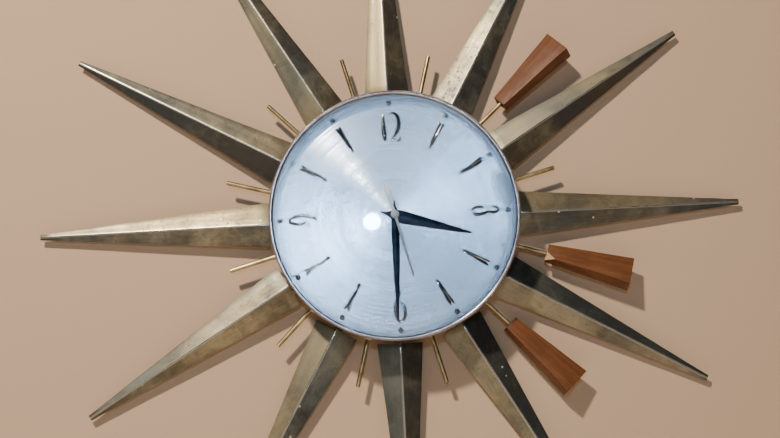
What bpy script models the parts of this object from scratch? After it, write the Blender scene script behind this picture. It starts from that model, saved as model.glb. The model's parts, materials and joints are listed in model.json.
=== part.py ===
"""Sunburst wall clock: twelve folded brass rays and twelve brass rods with teak paddles round a
battery clock in a spun steel pan, with a balance-wheel movement, motion work and three hands.

Every piece is modelled in clock axes: x to 3 o'clock, y to 12 o'clock and z from the wall towards
the viewer, with the hand axis at x = y = 0 and the wall at z = 0. One empty turns those axes into
the world, so that 12 o'clock is world +Z and the viewer stands at world -Y.
"""

from math import atan2, cos, hypot, pi, radians, sin

import bmesh
import bpy
from mathutils import Matrix, Vector

# ---------------------------------------------------------------- driving dimensions, in metres
GAP = 0.0003  # air between pieces that meet
HOURS = 12

# rays and rods
RAY_TIP_RADIUS = 0.330
RAY_ROOT_WIDTH = 0.0424
RAY_TIP_WIDTH = 0.0052
RAY_SHEET = 0.0008
RAY_RIDGE_AT_ROOT = 0.021  # wall to the ridge beside the bezel
RAY_RIDGE_AT_TIP = 0.0085
RAY_FOLD = 0.42  # drop of each facet over its half width
RAY_BEZEL_CLEARANCE = 0.0014
BRACKET_WIDTH = 0.012
BRACKET_SHEET = 0.0012
BRACKET_REACH = 0.034  # how far the bracket runs under the ray
BRACKET_UNDER_RIDGE = 0.6  # sheets between the ridge and the bracket's arm
ROD_RADIUS = 0.002
ROD_END_RADIUS = 0.1587
ROD_HEIGHT = 0.018
ROD_TAIL = 0.008  # threaded end inside the pan
ROD_HOLE_CLEARANCE = 0.0004
ROD_LEAN = {1: 2.6, 3: 2.2, 4: 0.5}  # degrees clockwise, where a paddle's weight has bent it
ROD_SIDES = 10
ROD_HOLE_SIDES = 12

# teak paddles
PADDLE_HOURS = (1.5, 3.5, 4.5)
PADDLE_TURN = {1.5: -30.0, 3.5: -25.0, 4.5: -16.0}  # degrees about the rod
PADDLE_INNER_RADIUS = {1.5: 0.149, 3.5: 0.146, 4.5: 0.145}
PADDLE_LENGTH = 0.081
PADDLE_INNER_WIDTH = 0.0135
PADDLE_OUTER_WIDTH = 0.027
PADDLE_THICKNESS = 0.0155
PADDLE_INNER_THICKNESS = 0.0105
PADDLE_CHAMFER = 0.0008
PADDLE_BORE_DEPTH = 0.017

# pan, bezel, dial and glass
BEZEL_RADIUS = 0.1141
BEZEL_SIDE = 0.0018
BEZEL_LIP = 0.0041  # width of the ring seen from the front
BEZEL_RISE = 0.0125  # dial face to the top of the bezel
BEZEL_SKIRT = 0.008  # how far it reaches back past the dial face
PAN_SHEET = 0.001
PAN_FLANGE = 0.014
DIAL_SHEET = 0.0008
GLASS_SHEET = 0.0018
GLASS_RISE = 0.0095
GLASS_SEAT_DEPTH = 0.005  # from the top of the bezel back to the glass's rim
DOT_RING_RADIUS = 0.104
DOT_RADIUS = 0.0025
DOT_HEIGHT = 0.0014
BATON_INNER_RADIUS = 0.0695
BATON_OUTER_RADIUS = 0.0965
BATON_OUTER_WIDTH = 0.004
BATON_INNER_WIDTH = 0.002
BATON_HEIGHT = 0.0008
BATON_HOURS = (1, 2, 4, 5, 7, 8, 10, 11)

# hands, with the time they stand at
HOUR_HAND_LENGTH = 0.0714
HOUR_HAND_TAIL = 0.0137
HOUR_HAND_WIDTH = 0.0116
HOUR_HAND_WIDEST = 0.006  # from the axis to the widest place
HOUR_HAND_TIP = 0.0014
HOUR_HAND_ANGLE = 105.7
MINUTE_HAND_LENGTH = 0.0955
MINUTE_HAND_TAIL = 0.0134
MINUTE_HAND_WIDTH = 0.0073
MINUTE_HAND_WIDEST = 0.018
MINUTE_HAND_TIP = 0.0012
MINUTE_HAND_ANGLE = 181.2
SECOND_HAND_LENGTH = 0.057
SECOND_HAND_TAIL = 0.0295
SECOND_HAND_WIDTH = 0.0018
SECOND_HAND_TIP = 0.0006
SECOND_HAND_ANGLE = 166.0
SECOND_BULB_WIDTH = 0.005
SECOND_CAP_RADIUS = 0.0038
SECOND_CAP_HEIGHT = 0.002
SECOND_BULB_PLACE = 0.78  # widest place of the counterweight, of the tail
SECOND_STEM_PLACE = 0.52  # where it has narrowed to the stem
SECOND_WAIST = 1.6  # width over the axis, of the stem
HAND_HUB = 0.86  # width over the axis, of the widest
HAND_HUB_PLACE = 0.4  # how far back of the axis that is, of half that width
HAND_TAIL_TIP = 0.0008
HAND_SHEET = 0.0006
HAND_SPACING = 0.0032  # from one hand to the next
HAND_OVER_POST = 0.001

# hanger and bumpers
STRAP_SHEET = 0.0012
STRAP_WIDTH = 0.022
STRAP_BELOW_AXIS = 0.014
STRAP_BOSS_RADIUS = 0.0035  # on the rear cover, for the strap's screw
KEYHOLE_HEIGHT = 0.082
KEYHOLE_HEAD_RADIUS = 0.0045
KEYHOLE_SLOT_RADIUS = 0.0022
KEYHOLE_SLOT_LENGTH = 0.010
BUMPER_RADIUS = 0.0045
BUMPER_HOURS = (4.5, 7.5)

# movement, from the wall outwards
KNOB_WALL_GAP = 0.005
KNOB_RADIUS = 0.006
KNOB_HEIGHT = 0.0035
COVER_WALL = 0.0015
REGULATOR_SHEET = 0.0006
PLATE_SHEET = 0.0015
MOVEMENT_LEFT = -0.0305
MOVEMENT_RIGHT = 0.0375
MOVEMENT_BOTTOM = -0.0255
MOVEMENT_TOP = 0.0335
PLATE_INSET = 0.0025  # cover outside to the plate edge
PLATE_SPACING = 0.0205  # air between the two plates
MOTION_ROOM = 0.0050  # air between the front plate and the front cover
FRONT_COVER_SHEET = 0.0015
PILLAR_RADIUS = 0.002
PILLAR_INSET = 0.001  # air between a pillar and the plate's edges
ARBOR_RADIUS = 0.0006
ARBOR_CLEARANCE = 0.0003
WHEEL_SHEET = 0.0008
SECONDS_ARBOR_RADIUS = 0.0009
TUBE_CLEARANCE = 0.00035
TUBE_WALL = 0.00065
TUBE_HUB = 0.001  # hub round the hour tube
POST_WALL = 0.0012
POST_STANDOFF = 0.003  # post past the dial face
NUT_ACROSS_FLATS = 0.0115
NUT_HEIGHT = 0.0024

# train: tooth counts and modules; the third arbor's distance fixes the second module
PINION_LEAVES = 8
SECONDS_TEETH = 60
THIRD_TEETH = 60
CENTRE_TEETH = 64
CANNON_LEAVES = 10
MINUTE_TEETH = 30
MINUTE_LEAVES = 10
HOUR_TEETH = 40
SETTING_LEAVES = 15
INDEX_TEETH = 20
TRAIN_MODULE = 0.0004
MOTION_MODULE = 0.0005
INDEX_MODULE = 0.0005
TOOTH_TIP = 0.8  # of the module, outside the pitch circle
TOOTH_ROOT = 1.15  # of the module, inside it
TOOTH_HALF_ROOT = 0.25  # of the tooth pitch
TOOTH_HALF_TIP = 0.10
WHEEL_RIM = 3.2  # modules from the pitch circle to the openings
WHEEL_HUB = 0.0024
WHEEL_HUB_ON_TUBE = 0.0034
WHEEL_SPOKES = 4
WHEEL_SPOKE_WIDTH = 0.0011
WHEEL_LEAST_OPENING = 0.0025  # a smaller wheel stays plain
HAIRSPRING_OVER_PLATE = 0.0009
BALANCE_OVER_HAIRSPRING = 0.0012
INDEX_OVER_BALANCE = 0.0034
SECONDS_OVER_INDEX = 0.0028
THIRD_OVER_SECONDS = 0.0034
CENTRE_OVER_THIRD = 0.0032
HOUR_OVER_MINUTE = 0.0017
THIRD_DIRECTION = 150.0
INDEX_DIRECTION = 60.0
MINUTE_DIRECTION = -60.0
SETTING_DIRECTION = -10.0

# balance and its parts
LEVER_FROM_INDEX = 0.0085
FORK_CLEARANCE = 0.0007  # fork tip to the roller
FORK_SPREAD = 0.0015
FORK_MOUTH = 0.0008
FORK_DEPTH = 0.0006
FORK_NECK = 0.0012  # from the fork's tip back to the lever's bar
LEVER_HALF_WIDTH = 0.0007
LEVER_SHOULDER = 0.002
PALLET_REACH = 0.0044
PALLET_TIP = (0.0032, 0.0040)
PALLET_BACK = 0.0022
PALLET_ROOT = (0.0010, 0.0012)
BALANCE_FROM_LEVER = 0.008
ESCAPEMENT_DIRECTION = 20.0
BALANCE_RADIUS = 0.011
BALANCE_RIM = 0.0018
BALANCE_SHEET = 0.0012
BALANCE_HUB = 0.0022
BALANCE_ARM_WIDTH = 0.0018
ROLLER_RADIUS = 0.0018
HAIRSPRING_TURNS = 4
HAIRSPRING_INNER = 0.0016
HAIRSPRING_OUTER = 0.0056
HAIRSPRING_WIRE = 0.00013
HAIRSPRING_STEP = 30.0  # degrees from point to point
COIL_OUTER = 0.0052
COIL_INNER = 0.0015
COIL_HEIGHT = 0.0034
REGULATOR_LENGTH = 0.009
REGULATOR_RING = 0.0026
REGULATOR_HALF_WIDTH = 0.0008
REGULATOR_ARM_START = 0.0018
REGULATOR_PEG = 0.0007
REGULATOR_PEG_STANDOFF = 0.001  # peg past the cover's back
REGULATOR_SLOT_ROOM = 0.0012
REGULATOR_SWING = 20.0

# circuit board, beside the coil: low corners as (x, y) and sizes as (x, y, z)
BOARD_CORNER = (-0.021, -0.019)
BOARD_SIZE = (0.014, 0.011, 0.0012)
TRANSISTOR_AT = (-0.0175, -0.0115)
TRANSISTOR_RADIUS = 0.0022
TRANSISTOR_HEIGHT = 0.0036
CAPACITOR_CORNER = (-0.0135, -0.0175)
CAPACITOR_SIZE = (0.005, 0.007, 0.003)
COMPONENT_SINK = 0.0004  # how far a component is let into the board

# battery: one C cell under the movement
CELL_RADIUS = 0.0131
CELL_LENGTH = 0.050
CELL_CLEARANCE = 0.0006
HOLDER_WALL = 0.002
CELL_CAP_RADIUS = 0.0033
CELL_CAP_HEIGHT = 0.0015
CONTACT_SHEET = 0.0004
CONTACT_HALF_HEIGHT = 0.006
CONTACT_NOSE = 0.0025  # half height of the part that touches the cell
CONTACT_WIDTH = 0.008
CONTACT_ROOM = 0.0030  # between a cell end and the holder's end wall
STEPS = 48  # facets round a large turned piece
DOME_POINTS = 5  # from the glass's middle to its rim

# ---------------------------------------------------------------- heights worked out from these
COVER_BACK = KNOB_WALL_GAP + KNOB_HEIGHT + GAP
COVER_FLOOR = COVER_BACK + COVER_WALL
REGULATOR_BACK = COVER_FLOOR + GAP
BACK_PLATE = REGULATOR_BACK + REGULATOR_SHEET + GAP
BACK_PLATE_TOP = BACK_PLATE + PLATE_SHEET
FRONT_PLATE = BACK_PLATE_TOP + PLATE_SPACING
FRONT_PLATE_TOP = FRONT_PLATE + PLATE_SHEET
FRONT_COVER = FRONT_PLATE_TOP + MOTION_ROOM
FRONT_COVER_TOP = FRONT_COVER + FRONT_COVER_SHEET
PAN_FRONT = FRONT_COVER_TOP + GAP + PAN_SHEET
DIAL_FACE = PAN_FRONT + GAP + DIAL_SHEET
POST_TOP = DIAL_FACE + POST_STANDOFF
HOUR_HAND_HEIGHT = POST_TOP + HAND_OVER_POST
MINUTE_HAND_HEIGHT = HOUR_HAND_HEIGHT + HAND_SPACING
SECOND_HAND_HEIGHT = MINUTE_HAND_HEIGHT + HAND_SPACING

# levels of the train above the back plate
HAIRSPRING_LEVEL = BACK_PLATE_TOP + HAIRSPRING_OVER_PLATE
BALANCE_LEVEL = HAIRSPRING_LEVEL + BALANCE_OVER_HAIRSPRING
INDEX_LEVEL = BALANCE_LEVEL + INDEX_OVER_BALANCE
SECONDS_LEVEL = INDEX_LEVEL + SECONDS_OVER_INDEX
THIRD_LEVEL = SECONDS_LEVEL + THIRD_OVER_SECONDS
CENTRE_LEVEL = THIRD_LEVEL + CENTRE_OVER_THIRD
CANNON_LEVEL = FRONT_PLATE_TOP + GAP
MINUTE_LEVEL = CANNON_LEVEL + GAP
HOUR_LEVEL = MINUTE_LEVEL + HOUR_OVER_MINUTE
LEAF_OVERLAP = 0.0006  # a pinion's length past its wheel on either side

# radii worked out from fits
PAN_RADIUS = BEZEL_RADIUS - BEZEL_SIDE - GAP
DIAL_RADIUS = PAN_RADIUS - GAP
BEZEL_LIP_RADIUS = BEZEL_RADIUS - BEZEL_LIP
RAY_ROOT_RADIUS = BEZEL_RADIUS + RAY_BEZEL_CLEARANCE
CANNON_BORE = SECONDS_ARBOR_RADIUS + TUBE_CLEARANCE
CANNON_RADIUS = CANNON_BORE + TUBE_WALL
HOUR_BORE = CANNON_RADIUS + TUBE_CLEARANCE
HOUR_TUBE_RADIUS = HOUR_BORE + TUBE_WALL
POST_BORE = HOUR_TUBE_RADIUS + TUBE_CLEARANCE
POST_RADIUS = POST_BORE + POST_WALL
PIVOT_HOLE = ARBOR_RADIUS + ARBOR_CLEARANCE
FLANGE_TOP = STRAP_SHEET + GAP + BRACKET_SHEET + GAP + PAN_SHEET

# arbor places: meshing wheels stand half the sum of their pitch diameters apart
THIRD_DISTANCE = TRAIN_MODULE * (PINION_LEAVES + THIRD_TEETH) / 2
CENTRE_MODULE = 2 * THIRD_DISTANCE / (PINION_LEAVES + CENTRE_TEETH)
INDEX_DISTANCE = TRAIN_MODULE * (PINION_LEAVES + SECONDS_TEETH) / 2
MINUTE_DISTANCE = MOTION_MODULE * (CANNON_LEAVES + MINUTE_TEETH) / 2
HOUR_MODULE = 2 * MINUTE_DISTANCE / (MINUTE_LEAVES + HOUR_TEETH)
SETTING_DISTANCE = MOTION_MODULE * (SETTING_LEAVES + MINUTE_TEETH) / 2


def polar(radius, degrees, start=(0.0, 0.0)):
    """The point at this distance and direction, counted anticlockwise from +x."""
    return start[0] + radius * cos(radians(degrees)), start[1] + radius * sin(radians(degrees))


CENTRE = (0.0, 0.0)
THIRD = polar(THIRD_DISTANCE, THIRD_DIRECTION)
INDEX = polar(INDEX_DISTANCE, INDEX_DIRECTION)
MINUTE = polar(MINUTE_DISTANCE, MINUTE_DIRECTION)
SETTING = polar(SETTING_DISTANCE, SETTING_DIRECTION, MINUTE)
LEVER = polar(LEVER_FROM_INDEX, ESCAPEMENT_DIRECTION, INDEX)
BALANCE = polar(BALANCE_FROM_LEVER, ESCAPEMENT_DIRECTION, LEVER)
COIL = (BALANCE[0], BALANCE[1] - BALANCE_RADIUS + BALANCE_RIM)

# ---------------------------------------------------------------- scene, materials, placing
for old in list(bpy.data.objects):
    bpy.data.objects.remove(old)

clock = bpy.data.collections.new("sunburst_wall_clock")
cutters = bpy.data.collections.new("cutters")
bpy.context.scene.collection.children.link(clock)
bpy.context.scene.collection.children.link(cutters)

axes = bpy.data.objects.new("clock_axes", None)
axes.rotation_euler = (pi / 2, 0.0, 0.0)
clock.objects.link(axes)

FINISHES = {
    "ray_brass": ((0.42, 0.36, 0.22), 0.38, 1.0),
    "rod_brass": ((0.72, 0.58, 0.30), 0.25, 1.0),
    "wheel_brass": ((0.78, 0.62, 0.32), 0.3, 1.0),
    "teak": ((0.45, 0.22, 0.09), 0.6, 0.0),
    "pan_steel": ((0.16, 0.15, 0.14), 0.5, 0.6),
    "bezel_metal": ((0.62, 0.58, 0.54), 0.22, 1.0),
    "dial_aluminium": ((0.78, 0.82, 0.86), 0.35, 1.0),
    "glass": ((0.9, 0.95, 0.97), 0.03, 0.0),
    "hand_steel": ((0.05, 0.07, 0.11), 0.3, 0.8),
    "second_white": ((0.80, 0.83, 0.85), 0.3, 0.4),
    "plated_steel": ((0.60, 0.60, 0.60), 0.3, 1.0),
    "moulding": ((0.10, 0.10, 0.11), 0.45, 0.0),
    "rubber": ((0.04, 0.04, 0.04), 0.8, 0.0),
    "cell_wrap": ((0.30, 0.32, 0.36), 0.35, 0.5),
    "board": ((0.28, 0.20, 0.09), 0.5, 0.0),
    "copper": ((0.60, 0.28, 0.14), 0.35, 1.0),
    "spring_blue": ((0.10, 0.14, 0.35), 0.25, 1.0),
}


def finish(name):
    """The Principled material of this name, made once."""
    if name in bpy.data.materials:
        return bpy.data.materials[name]
    colour, roughness, metallic = FINISHES[name]
    material = bpy.data.materials.new(name)
    material.use_nodes = True
    shader = material.node_tree.nodes["Principled BSDF"]
    shader.inputs["Base Color"].default_value = (*colour, 1.0)
    shader.inputs["Roughness"].default_value = roughness
    shader.inputs["Metallic"].default_value = metallic
    return material


def place(obj, finish_name, at=(0.0, 0.0, 0.0), turn=0.0, smooth=False):
    """Puts an object into the clock: at is in clock axes, turn is degrees about the hand axis."""
    for holder in list(obj.users_collection):
        holder.objects.unlink(obj)
    clock.objects.link(obj)
    obj.parent = axes
    obj.location = at
    obj.rotation_euler = (0.0, 0.0, radians(turn))
    obj.data.materials.clear()
    obj.data.materials.append(finish(finish_name))
    if smooth and obj.type == "MESH":
        obj.data.shade_smooth()
    return obj


def hide_as_cutter(obj):
    """Turns an object into a guide that another piece is cut or joined with."""
    for holder in list(obj.users_collection):
        holder.objects.unlink(obj)
    cutters.objects.link(obj)
    obj.parent = axes
    obj.hide_render = True
    obj.display_type = "WIRE"
    return obj


def combine(obj, tools, operation):
    """Boolean modifiers on obj, one for each tool, which is hidden."""
    for number, tool in enumerate(tools):
        modifier = obj.modifiers.new(f"{operation.lower()}_{number}", "BOOLEAN")
        modifier.operation = operation
        modifier.solver = "EXACT"
        modifier.object = hide_as_cutter(tool)
    return obj


# ---------------------------------------------------------------- makers of plain shapes
def rectangle(left, bottom, right, top):
    return [(left, bottom), (right, bottom), (right, top), (left, top)]


def circle(radius, centre=(0.0, 0.0), count=12):
    return [polar(radius, 360.0 * step / count, centre) for step in range(count)]


def flat(name, loops, back, thickness, at=(0.0, 0.0)):
    """A sheet cut to the first loop with the other loops as holes, standing on z = back."""
    curve = bpy.data.curves.new(name, "CURVE")
    curve.dimensions = "2D"
    curve.fill_mode = "BOTH"
    curve.extrude = thickness / 2
    for loop in loops:
        spline = curve.splines.new("POLY")
        spline.points.add(len(loop) - 1)
        for point, (x, y) in zip(spline.points, loop):
            point.co = (x, y, 0.0, 1.0)
        spline.use_cyclic_u = True
    obj = bpy.data.objects.new(name, curve)
    clock.objects.link(obj)
    obj.location = (*at, back + thickness / 2)
    return obj


def meshed(obj, at=(0.0, 0.0)):
    """The curve made a mesh whose origin is on the axis through at, with its caps welded."""
    bpy.context.view_layer.update()
    evaluated = obj.evaluated_get(bpy.context.evaluated_depsgraph_get())
    mesh = bpy.data.meshes.new_from_object(evaluated)
    mesh.transform(Matrix.Translation(Vector((-at[0], -at[1], 0.0))) @ obj.matrix_world)
    name = obj.name
    bpy.data.objects.remove(obj)
    shape = bmesh.new()
    shape.from_mesh(mesh)
    bmesh.ops.remove_doubles(shape, verts=shape.verts, dist=1e-6)
    shape.to_mesh(mesh)
    shape.free()
    result = bpy.data.objects.new(name, mesh)
    clock.objects.link(result)
    return result


def sheet(name, loops, back, thickness, at=(0.0, 0.0)):
    """A flat piece as a mesh, with its origin on the axis through at."""
    return meshed(flat(name, loops, back, thickness, at), at)


def turned(name, profile, steps=STEPS, closed=True):
    """A ring or disc turned about z from (radius, z) points that run down the outer side."""
    mesh = bpy.data.meshes.new(name)
    count = len(profile)
    edges = [(step, step + 1) for step in range(count - 1)]
    if closed:
        edges.append((count - 1, 0))
    mesh.from_pydata([(radius, 0.0, z) for radius, z in profile], edges, [])
    obj = bpy.data.objects.new(name, mesh)
    clock.objects.link(obj)
    screw = obj.modifiers.new("turn", "SCREW")
    screw.axis = "Z"
    screw.angle = 2 * pi
    screw.steps = steps
    screw.render_steps = steps
    screw.use_merge_vertices = True
    screw.merge_threshold = 0.00005
    screw.use_smooth_shade = False
    return obj


def cylinder(name, radius, back, front, at=(0.0, 0.0), sides=12):
    """A straight round bar along z, with its origin on its own axis at the wall."""
    shape = bmesh.new()
    middle = Matrix.Translation((0.0, 0.0, (back + front) / 2))
    bmesh.ops.create_cone(
        shape, cap_ends=True, segments=sides, radius1=radius, radius2=radius,
        depth=front - back, matrix=middle)
    mesh = bpy.data.meshes.new(name)
    shape.to_mesh(mesh)
    shape.free()
    obj = bpy.data.objects.new(name, mesh)
    clock.objects.link(obj)
    obj.location = (*at, 0.0)
    return obj


def block(name, low, high):
    """A box between two corners in clock axes."""
    shape = bmesh.new()
    bmesh.ops.create_cube(shape, size=1.0)
    size = Vector(high) - Vector(low)
    bmesh.ops.scale(shape, vec=size, verts=shape.verts)
    bmesh.ops.translate(shape, vec=(Vector(high) + Vector(low)) / 2, verts=shape.verts)
    mesh = bpy.data.meshes.new(name)
    shape.to_mesh(mesh)
    shape.free()
    obj = bpy.data.objects.new(name, mesh)
    clock.objects.link(obj)
    return obj


def clock_angle(hour):
    """Degrees to turn a piece drawn along +y so that it points at this hour."""
    return -360.0 * hour / HOURS


# ---------------------------------------------------------------- rays, rods and paddles
def ridge_height(radius):
    share = (radius - RAY_ROOT_RADIUS) / (RAY_TIP_RADIUS - RAY_ROOT_RADIUS)
    return RAY_RIDGE_AT_ROOT + share * (RAY_RIDGE_AT_TIP - RAY_RIDGE_AT_ROOT)


def bracket_outline():
    """The bracket's side view, as (radius, z): foot on the flange, riser, arm along the ray."""
    foot_back = STRAP_SHEET + GAP
    foot_start = PAN_RADIUS - PAN_FLANGE + GAP
    riser = (PAN_RADIUS + RAY_ROOT_RADIUS) / 2
    arm_start = RAY_ROOT_RADIUS + RAY_BEZEL_CLEARANCE
    arm_end = RAY_ROOT_RADIUS + BRACKET_REACH
    under_ridge = RAY_SHEET * BRACKET_UNDER_RIDGE + RAY_FOLD * BRACKET_WIDTH / 2
    top_start = ridge_height(arm_start) - under_ridge
    top_end = ridge_height(arm_end) - under_ridge
    half = BRACKET_SHEET / 2
    return [
        (foot_start, foot_back),
        (riser + half, foot_back),
        (riser + half, top_start - 2 * BRACKET_SHEET),
        (arm_start + half, top_start - BRACKET_SHEET),
        (arm_end, top_end - BRACKET_SHEET),
        (arm_end, top_end),
        (arm_start, top_start),
        (riser - half, top_start - BRACKET_SHEET),
        (riser - half, foot_back + BRACKET_SHEET),
        (foot_start, foot_back + BRACKET_SHEET),
    ]


def make_ray_mesh():
    """A hollow ridged ray along +y with its bracket, as one sheet-metal piece."""
    bpy.ops.mesh.primitive_grid_add(x_subdivisions=2, y_subdivisions=2, size=2.0)
    ray = bpy.context.object
    ray.name = "ray_pattern"
    for vertex in ray.data.vertices:
        side, end = vertex.co.x, (vertex.co.y + 1.0) / 2
        radius = RAY_ROOT_RADIUS + end * (RAY_TIP_RADIUS - RAY_ROOT_RADIUS)
        half_width = (RAY_ROOT_WIDTH + end * (RAY_TIP_WIDTH - RAY_ROOT_WIDTH)) / 2
        drop = RAY_FOLD * half_width * abs(side)
        vertex.co = (side * half_width, radius, ridge_height(radius) - drop)
    solidify = ray.modifiers.new("sheet", "SOLIDIFY")
    solidify.thickness = RAY_SHEET
    solidify.offset = -1.0
    strip = sheet("bracket_pattern", [bracket_outline()], -BRACKET_WIDTH / 2, BRACKET_WIDTH)
    # the outline is drawn as (radius, z), so its plane turns up onto the ray's centre line
    strip.data.transform(Matrix(((0, 0, 1, 0), (1, 0, 0, 0), (0, 1, 0, 0), (0, 0, 0, 1))))
    combine(ray, [strip], "UNION")
    strip.parent = None
    bpy.context.view_layer.update()
    mesh = bpy.data.meshes.new_from_object(ray.evaluated_get(bpy.context.evaluated_depsgraph_get()))
    mesh.name = "ray"
    bpy.data.objects.remove(ray)
    bpy.data.objects.remove(strip)
    return mesh


def make_rays():
    mesh = make_ray_mesh()
    for hour in range(1, HOURS + 1):
        ray = bpy.data.objects.new(f"ray_{hour:02d}", mesh)
        place(ray, "ray_brass", turn=clock_angle(hour))


def rod_mesh(name, radius, start, end, sides):
    """A round bar along +y at the rods' height."""
    shape = bmesh.new()
    along_y = Matrix.Translation((0.0, (start + end) / 2, ROD_HEIGHT)) @ Matrix.Rotation(pi / 2, 4, "X")
    bmesh.ops.create_cone(
        shape, cap_ends=True, segments=sides, radius1=radius, radius2=radius,
        depth=end - start, matrix=along_y)
    mesh = bpy.data.meshes.new(name)
    shape.to_mesh(mesh)
    shape.free()
    return mesh


def lean_of_rod(number):
    """Turns a rod drawn along +y about its hole in the pan's wall."""
    hole = Matrix.Translation((0.0, PAN_RADIUS, 0.0))
    lean = Matrix.Rotation(-radians(ROD_LEAN.get(number, 0.0)), 4, "Z")
    return hole @ lean @ hole.inverted()


def make_rods():
    for number in range(1, HOURS + 1):
        mesh = rod_mesh("rod", ROD_RADIUS, PAN_RADIUS - ROD_TAIL, ROD_END_RADIUS, ROD_SIDES)
        mesh.transform(lean_of_rod(number))
        rod = bpy.data.objects.new(f"rod_{number:02d}", mesh)
        place(rod, "rod_brass", turn=clock_angle(number + 0.5), smooth=True)


def make_paddle(hour):
    """A tapered teak block, drilled in its inner end for the rod and turned about it."""
    number = int(hour)
    name = f"paddle_{number:02d}_30"
    inner = PADDLE_INNER_RADIUS[hour]
    paddle = block(
        name,
        (-PADDLE_OUTER_WIDTH / 2, inner, -PADDLE_THICKNESS / 2),
        (PADDLE_OUTER_WIDTH / 2, inner + PADDLE_LENGTH, PADDLE_THICKNESS / 2))
    for vertex in paddle.data.vertices:
        if vertex.co.y < inner + PADDLE_LENGTH / 2:
            vertex.co.x *= PADDLE_INNER_WIDTH / PADDLE_OUTER_WIDTH
            vertex.co.z *= PADDLE_INNER_THICKNESS / PADDLE_THICKNESS
    paddle.data.transform(Matrix.Rotation(radians(PADDLE_TURN[hour]), 4, "Y"))
    paddle.data.transform(Matrix.Translation((0.0, 0.0, ROD_HEIGHT)))
    paddle.data.transform(lean_of_rod(number))
    bevel = paddle.modifiers.new("chamfer", "BEVEL")
    bevel.width = PADDLE_CHAMFER
    bevel.segments = 1
    bore_mesh = rod_mesh(f"{name}_bore", ROD_RADIUS + ROD_HOLE_CLEARANCE,
                         inner - PADDLE_BORE_DEPTH, inner + PADDLE_BORE_DEPTH, ROD_HOLE_SIDES)
    bore_mesh.transform(lean_of_rod(number))
    bore = bpy.data.objects.new(f"{name}_bore", bore_mesh)
    place(bore, "teak", turn=clock_angle(hour))
    combine(paddle, [bore], "DIFFERENCE")
    place(paddle, "teak", turn=clock_angle(hour))


# ---------------------------------------------------------------- pan, bezel, dial and glass
def make_pan():
    """The spun pan: front panel behind the dial, side wall, and a flange that the rays screw to."""
    inner = PAN_RADIUS - PAN_SHEET
    flange_back = FLANGE_TOP - PAN_SHEET
    flange_inner = PAN_RADIUS - PAN_FLANGE
    hole = POST_RADIUS + GAP
    pan = turned("case_pan", [
        (hole, PAN_FRONT),
        (PAN_RADIUS, PAN_FRONT),
        (PAN_RADIUS, flange_back),
        (flange_inner, flange_back),
        (flange_inner, FLANGE_TOP),
        (inner, FLANGE_TOP),
        (inner, PAN_FRONT - PAN_SHEET),
        (hole, PAN_FRONT - PAN_SHEET),
    ])
    drills = []
    for number in range(HOURS // 2):
        drill = bpy.data.objects.new(
            f"rod_drill_{number}",
            rod_mesh("rod_drill", ROD_RADIUS + ROD_HOLE_CLEARANCE, -BEZEL_RADIUS, BEZEL_RADIUS, 12))
        place(drill, "pan_steel", turn=clock_angle(number + 0.5))
        drills.append(drill)
    combine(pan, drills, "DIFFERENCE")
    place(pan, "pan_steel")


def glass_seat():
    """Height of the ledge that the glass rests on."""
    return DIAL_FACE + BEZEL_RISE - GLASS_SEAT_DEPTH


def make_bezel():
    top = DIAL_FACE + BEZEL_RISE
    seat = glass_seat()
    dome_under_lip = 2 * GLASS_RISE * BEZEL_LIP / BEZEL_RADIUS
    pocket_top = seat + GLASS_SHEET + 2 * GAP + dome_under_lip
    pocket = BEZEL_RADIUS - BEZEL_SIDE
    crown = [polar(BEZEL_LIP / 2, 150 - 30 * step) for step in range(6)]
    middle = BEZEL_RADIUS - BEZEL_LIP / 2
    rounded = [(middle + x, top - BEZEL_LIP / 2 + y) for x, y in crown]
    bezel = turned("bezel", [
        (BEZEL_LIP_RADIUS, pocket_top),
        *rounded,
        (BEZEL_RADIUS, DIAL_FACE - BEZEL_SKIRT),
        (pocket, DIAL_FACE - BEZEL_SKIRT),
        (pocket, DIAL_FACE + GAP),
        (BEZEL_LIP_RADIUS, DIAL_FACE + GAP),
        (BEZEL_LIP_RADIUS, seat),
        (pocket, seat),
        (pocket, pocket_top),
    ])
    place(bezel, "bezel_metal")


def dome(radius, rim, rise, count):
    """Points of a shallow round dome, from its crown to its rim."""
    sphere = (radius * radius + rise * rise) / (2 * rise)
    points = []
    for step in range(count):
        reach = radius * step / (count - 1)
        points.append((reach, rim + (sphere * sphere - reach * reach) ** 0.5 - (sphere - rise)))
    return points


def make_glass():
    radius = BEZEL_RADIUS - BEZEL_SIDE - GAP
    back = glass_seat() + GAP
    outer = dome(radius, back + GLASS_SHEET, GLASS_RISE, DOME_POINTS)
    inner = dome(radius, back, GLASS_RISE, DOME_POINTS)
    place(turned("glass", outer + inner[::-1], closed=False), "glass", smooth=True)


def baton_outline(hour):
    """A wedge that widens towards its hour dot."""
    turn = 90.0 + clock_angle(hour)
    corners = []
    for radius, width, side in (
            (BATON_INNER_RADIUS, BATON_INNER_WIDTH, 1), (BATON_INNER_RADIUS, BATON_INNER_WIDTH, -1),
            (BATON_OUTER_RADIUS, BATON_OUTER_WIDTH, -1), (BATON_OUTER_RADIUS, BATON_OUTER_WIDTH, 1)):
        corners.append(polar(hypot(radius, width / 2), turn + side * 180 / pi * atan2(width / 2, radius)))
    return corners


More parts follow.
